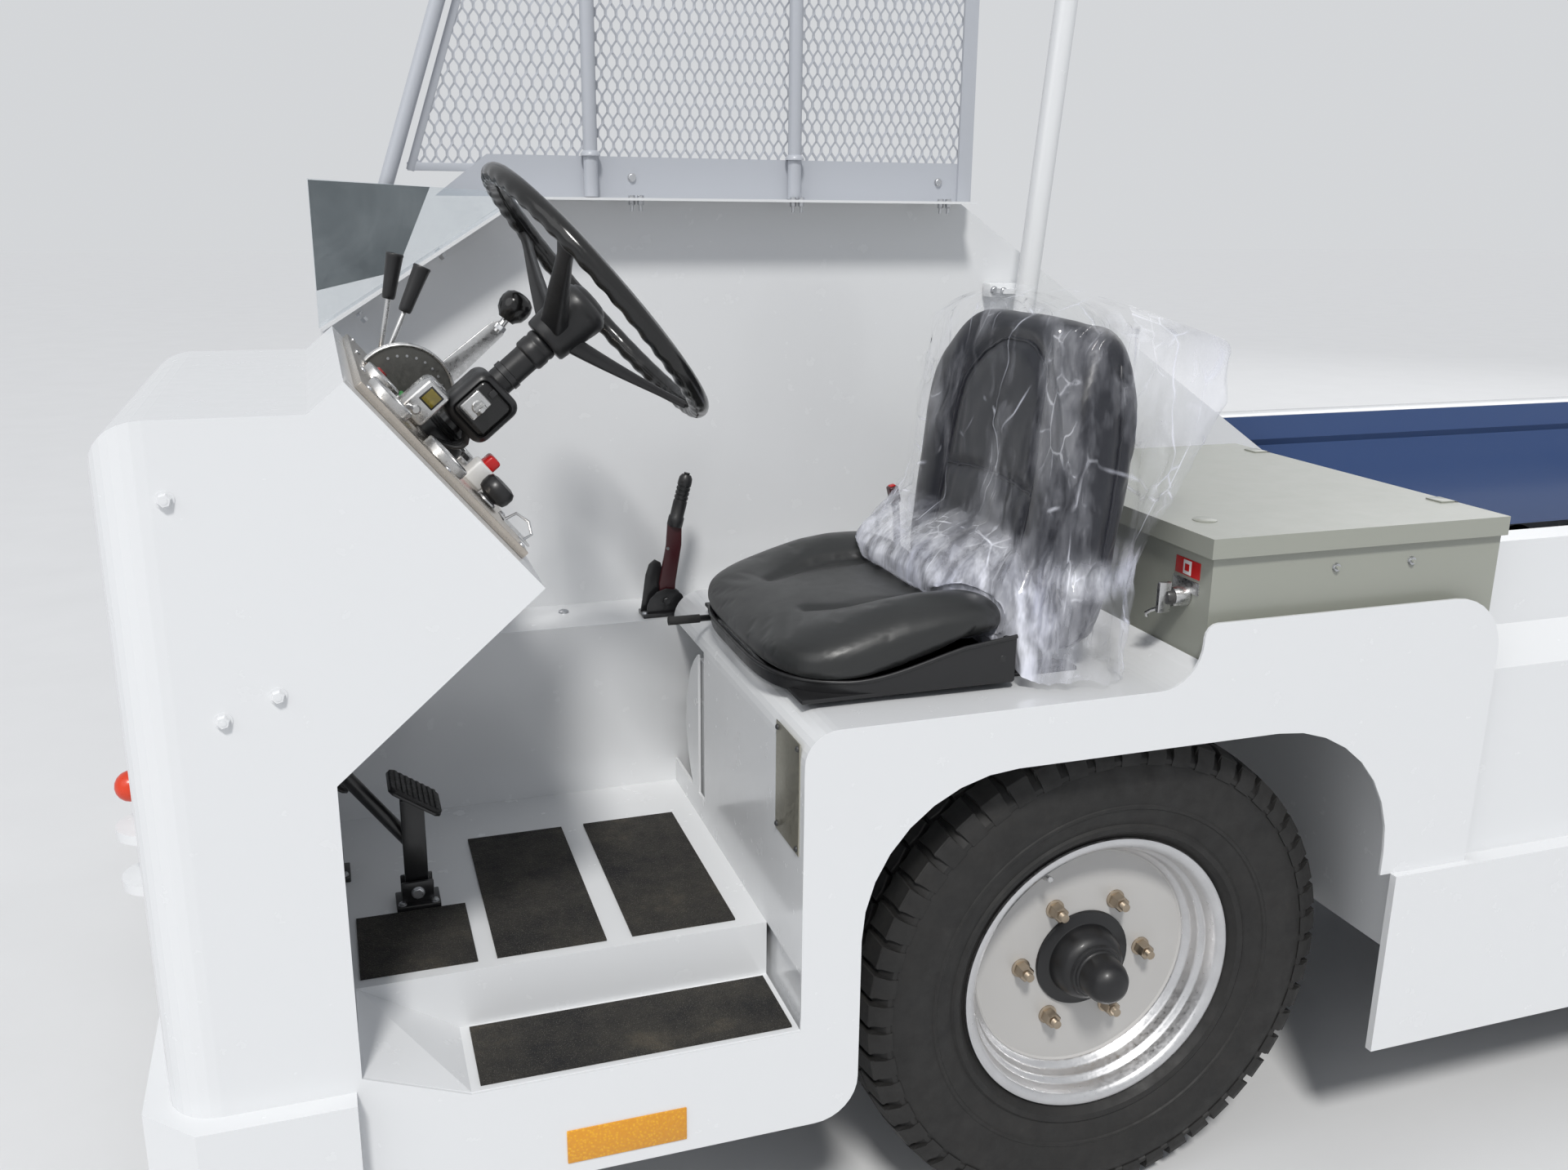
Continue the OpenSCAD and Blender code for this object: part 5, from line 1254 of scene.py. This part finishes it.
def seat_pan():
    """Moulded pan under the cushion with its rolled edge, slotted brackets behind, rails below."""
    kit = Kit("seat_pan", AHEAD)
    wall, bead = [], []
    for k in range(121):
        a = math.pi * (k / 120 - 0.5)
        u, v = 2 * sgn_pow(math.cos(a), 0.40) - 1, sgn_pow(math.sin(a), 0.40)
        x = 344 + u * (162 - 15 * abs(v) ** 3 * max(0, u))
        y = 700 + v * 236 * (1 - 0.03 * max(0, u) ** 3)
        out = Vector((x - 335, (y - 700) * 0.8, 0)).normalized()
        top = bead_z(x)
        for shift, z in ((-3, 868), (-1.5, 874), (0, top), (-3, top + 1.5), (-7, 868)):
            wall.append((x + out.x * shift, y + out.y * shift, z))
        bead.append((x, y, top))
    kit.add(wall, quads(121, 5), BLACK, True)
    kit.tube(bead, 3.0, BLACK)
    kit.boxes(((184, 470, 866), (480, 930, 872), BLACK, 1.5), ((178, 470, 866), (188, 930, 926), BLACK, 3))
    bracket = [(186, 872), (222, 872), (214, 905), (204, 918), (190, 918), (186, 905)]
    for y, s in ((470, -1), (930, 1)):
        kit.box((208, y - 2, 872), (226, y + 2, 912), BLACK_MET, 2)
        kit.plate(bracket, 4, BLACK_MET, upright(y + s * 2 - 2), 1)
        kit.bolt((200, y + s * 2, 903), (0, s, 0), 5, BLACK_MET)
    for y in (527, 873):
        kit.boxes(((60, y - 17, 857.5), (459, y + 17, 863), BLACK_MET, 1),
                  ((80, y - 11, 862), (452, y + 11, 868), BLACK_MET, 1))
    kit.rod((470, 530, 865.5), (552, 530, 865.5), 5.0, BLACK_MET)
    kit.rod((505, 530, 865.5), (554, 530, 865.5), 6.6, RUBBER)
    kit.finish("chassis", ["seat_base"], "black_plastic")


def ridge(x, y, z):
    return (1 - abs(noise.noise(Vector((x, y, z))))) ** 6


def make_bag(cushion, back):
    """Clear bag pulled over the backrest: closed above, loose behind, its hem puffed on the cushion."""
    n, rows = 250, 120
    trees = [nearest_face(obj) for obj in (back, cushion)]
    grid = []
    for j in range(rows + 1):
        t = j / rows
        row = []
        for i in range(n):
            th = TURN * i / n
            c, s = math.cos(th), math.sin(th)
            front, near = max(0, c), max(0, s)
            rear, far = max(0, -c), max(0, -s)
            z_low = 0.925 - 0.060 * near - 0.045 * rear * (1 - far) + 0.006 * math.sin(5 * th)
            z_top = 1.364 - 0.030 * abs(s) ** 3 + 0.006 * math.sin(3 * th + 1)
            z = z_top + (z_low - z_top) * t
            round_in = smooth(0, 0.10, t) ** 0.45
            # Half sizes of the section and its middle at this height
            high = (z - 0.891) / 0.43
            cx = 0.089 - (z - 0.891) * math.tan(rad(6))
            a = 0.076 * round_in + 0.004
            b = 0.250 - 0.022 * smooth(0.6, 1.0, high) + 0.006 * (1 - round_in)
            x, y = cx + a * sgn_pow(c, 0.62), 0.700 + b * sgn_pow(s, 0.48)
            # Loose corner behind the near edge, high up
            flap = math.exp(-((th - rad(128)) / 0.42) ** 2) * smooth(0.0, 0.06, t) * smooth(0.72, 0.12, t)
            x -= 0.105 * flap
            y += 0.012 * flap
            z -= 0.02 * flap
            # Hem thrown forward over the cushion
            flare = math.sin(math.pi * min(1, max(0, (t - 0.70) / 0.37))) ** 0.8 * smooth(0.10, 0.80, c)
            flare *= (1 - 0.8 * smooth(0.0, 0.75, s)) * (1 - 0.70 * smooth(0.25, 0.75, -s))
            x += 0.092 * flare
            y += 0.02 * flare * s
            # Drawn in at the waist on the near side, then out again round the lower bolster
            waist = math.exp(-((t - 0.70) / 0.055) ** 2) * math.exp(-((th - rad(75)) / 0.6) ** 2)
            y -= 0.016 * waist
            y += 0.012 * smooth(0.78, 0.95, t) * near
            # Folds: long pulls from the top corners and the waist, then fine creases
            around = th * 0.24
            lift = 0.012 * ridge(around * 9 + z * 3.0, z * 2.2, 1.7)
            lift += 0.009 * ridge(around * 16 - z * 7, z * 5, 5.1)
            lift += 0.004 * ridge(around * 26 + z * 12, z * 14, 9.3)
            lift += 0.0012 * noise.noise(Vector((around * 40, z * 40, 2)))
            gather = 0.007 * math.exp(-((t - 0.74) / 0.14) ** 2)
            gather *= 0.5 + 0.5 * math.sin(th * 34 + 3 * math.sin(th * 5))
            lift += gather * (0.35 + near + front)
            out = Vector((c, s * 0.9, 0)).normalized()
            p = Vector((XF + x, y, z)) + out * lift * (0.25 + 0.75 * round_in)
            for tree, gap in zip(trees, (0.0028, 0.0035)):
                hit, normal, _, dist = tree.find_nearest(p)
                if hit is not None and (p - hit).dot(normal) < gap and dist < 0.09:
                    p = hit + normal * (gap + 0.35 * lift)
            p.z = max(p.z, 0.861)
            row.append(p)
        grid.append(row)
    # Even out the pushes so that the film stays one smooth sheet
    for _ in range(2):
        for j in range(1, rows):
            above, row, below = grid[j - 1:j + 2]
            grid[j] = [row[i] * 0.6 + 0.1 * (above[i] + below[i] + row[i - 1] + row[(i + 1) % n])
                       for i in range(n)]
    kit = Kit("seat_bag")
    kit.add([p for row in grid for p in row], quads(rows + 1, n), FILM, True)
    bag = mesh_object(kit.name, kit.bm, kit.mats)
    dress(bag, "chassis")


def buckle():
    """Belt buckle on its stalk."""
    kit = Kit("belt_buckle", AHEAD)
    turn = Matrix.Translation((150, 440, 1022)) @ Matrix.Rotation(rad(14), 4, "Y")
    kit.box((-8, -9, -15), (8, 9, 13), MAROON, 3.0, turn, 3)
    kit.box((-5, -6, 12), (5, 6, 15), RED, 1.5, turn)
    below = turn @ Matrix.Translation((0, -2, -24)) @ Matrix.Rotation(rad(90), 4, "X")
    kit.plate([(-5, -10), (5, -10), (7, 10), (-7, 10)], 4, BLACK, below, 1)
    kit.tube([(145, 440, 1002), (142, 440, 960), (140, 440, 920), (138, 442, 884)], 6, BLACK, 12)
    kit.finish("chassis", slot="seat_vinyl")


cushion, back = make_seat()
seat_pan()
make_bag(cushion, back)
for make in (buckle, column, steering_wheel, dash, levers, handbrake, pedals, body_fixings, reflector_strip,
             box_details, expanded_mesh, guard_trim, beacon, lamps, boom_details, make_world, make_camera):
    make()

# Lights, floor and view transform

make_light("SUN", "key", (0, 0, 0), (-0.22, -0.62, -0.82), 2.1, angle=rad(9), color=(1, 0.985, 0.96))
make_light("AREA", "fill", (7.5, 3.5, 5.0), (-7.0, -3.5, -4.2), 90, shape="DISK", size=6)
make_light("AREA", "back", (-6.5, -6.0, 6.0), (6.5, 6.0, -5.2), 110, shape="DISK", size=6)

floor = bpy.data.meshes.new("floor")
floor.from_pydata([(-40, -40, 0), (40, -40, 0), (40, 40, 0), (-40, 40, 0)], [], [[0, 1, 2, 3]])
floor.materials.append(floor_mat())
linked("floor", floor)

bpy.context.scene.view_settings.view_transform = "Standard"
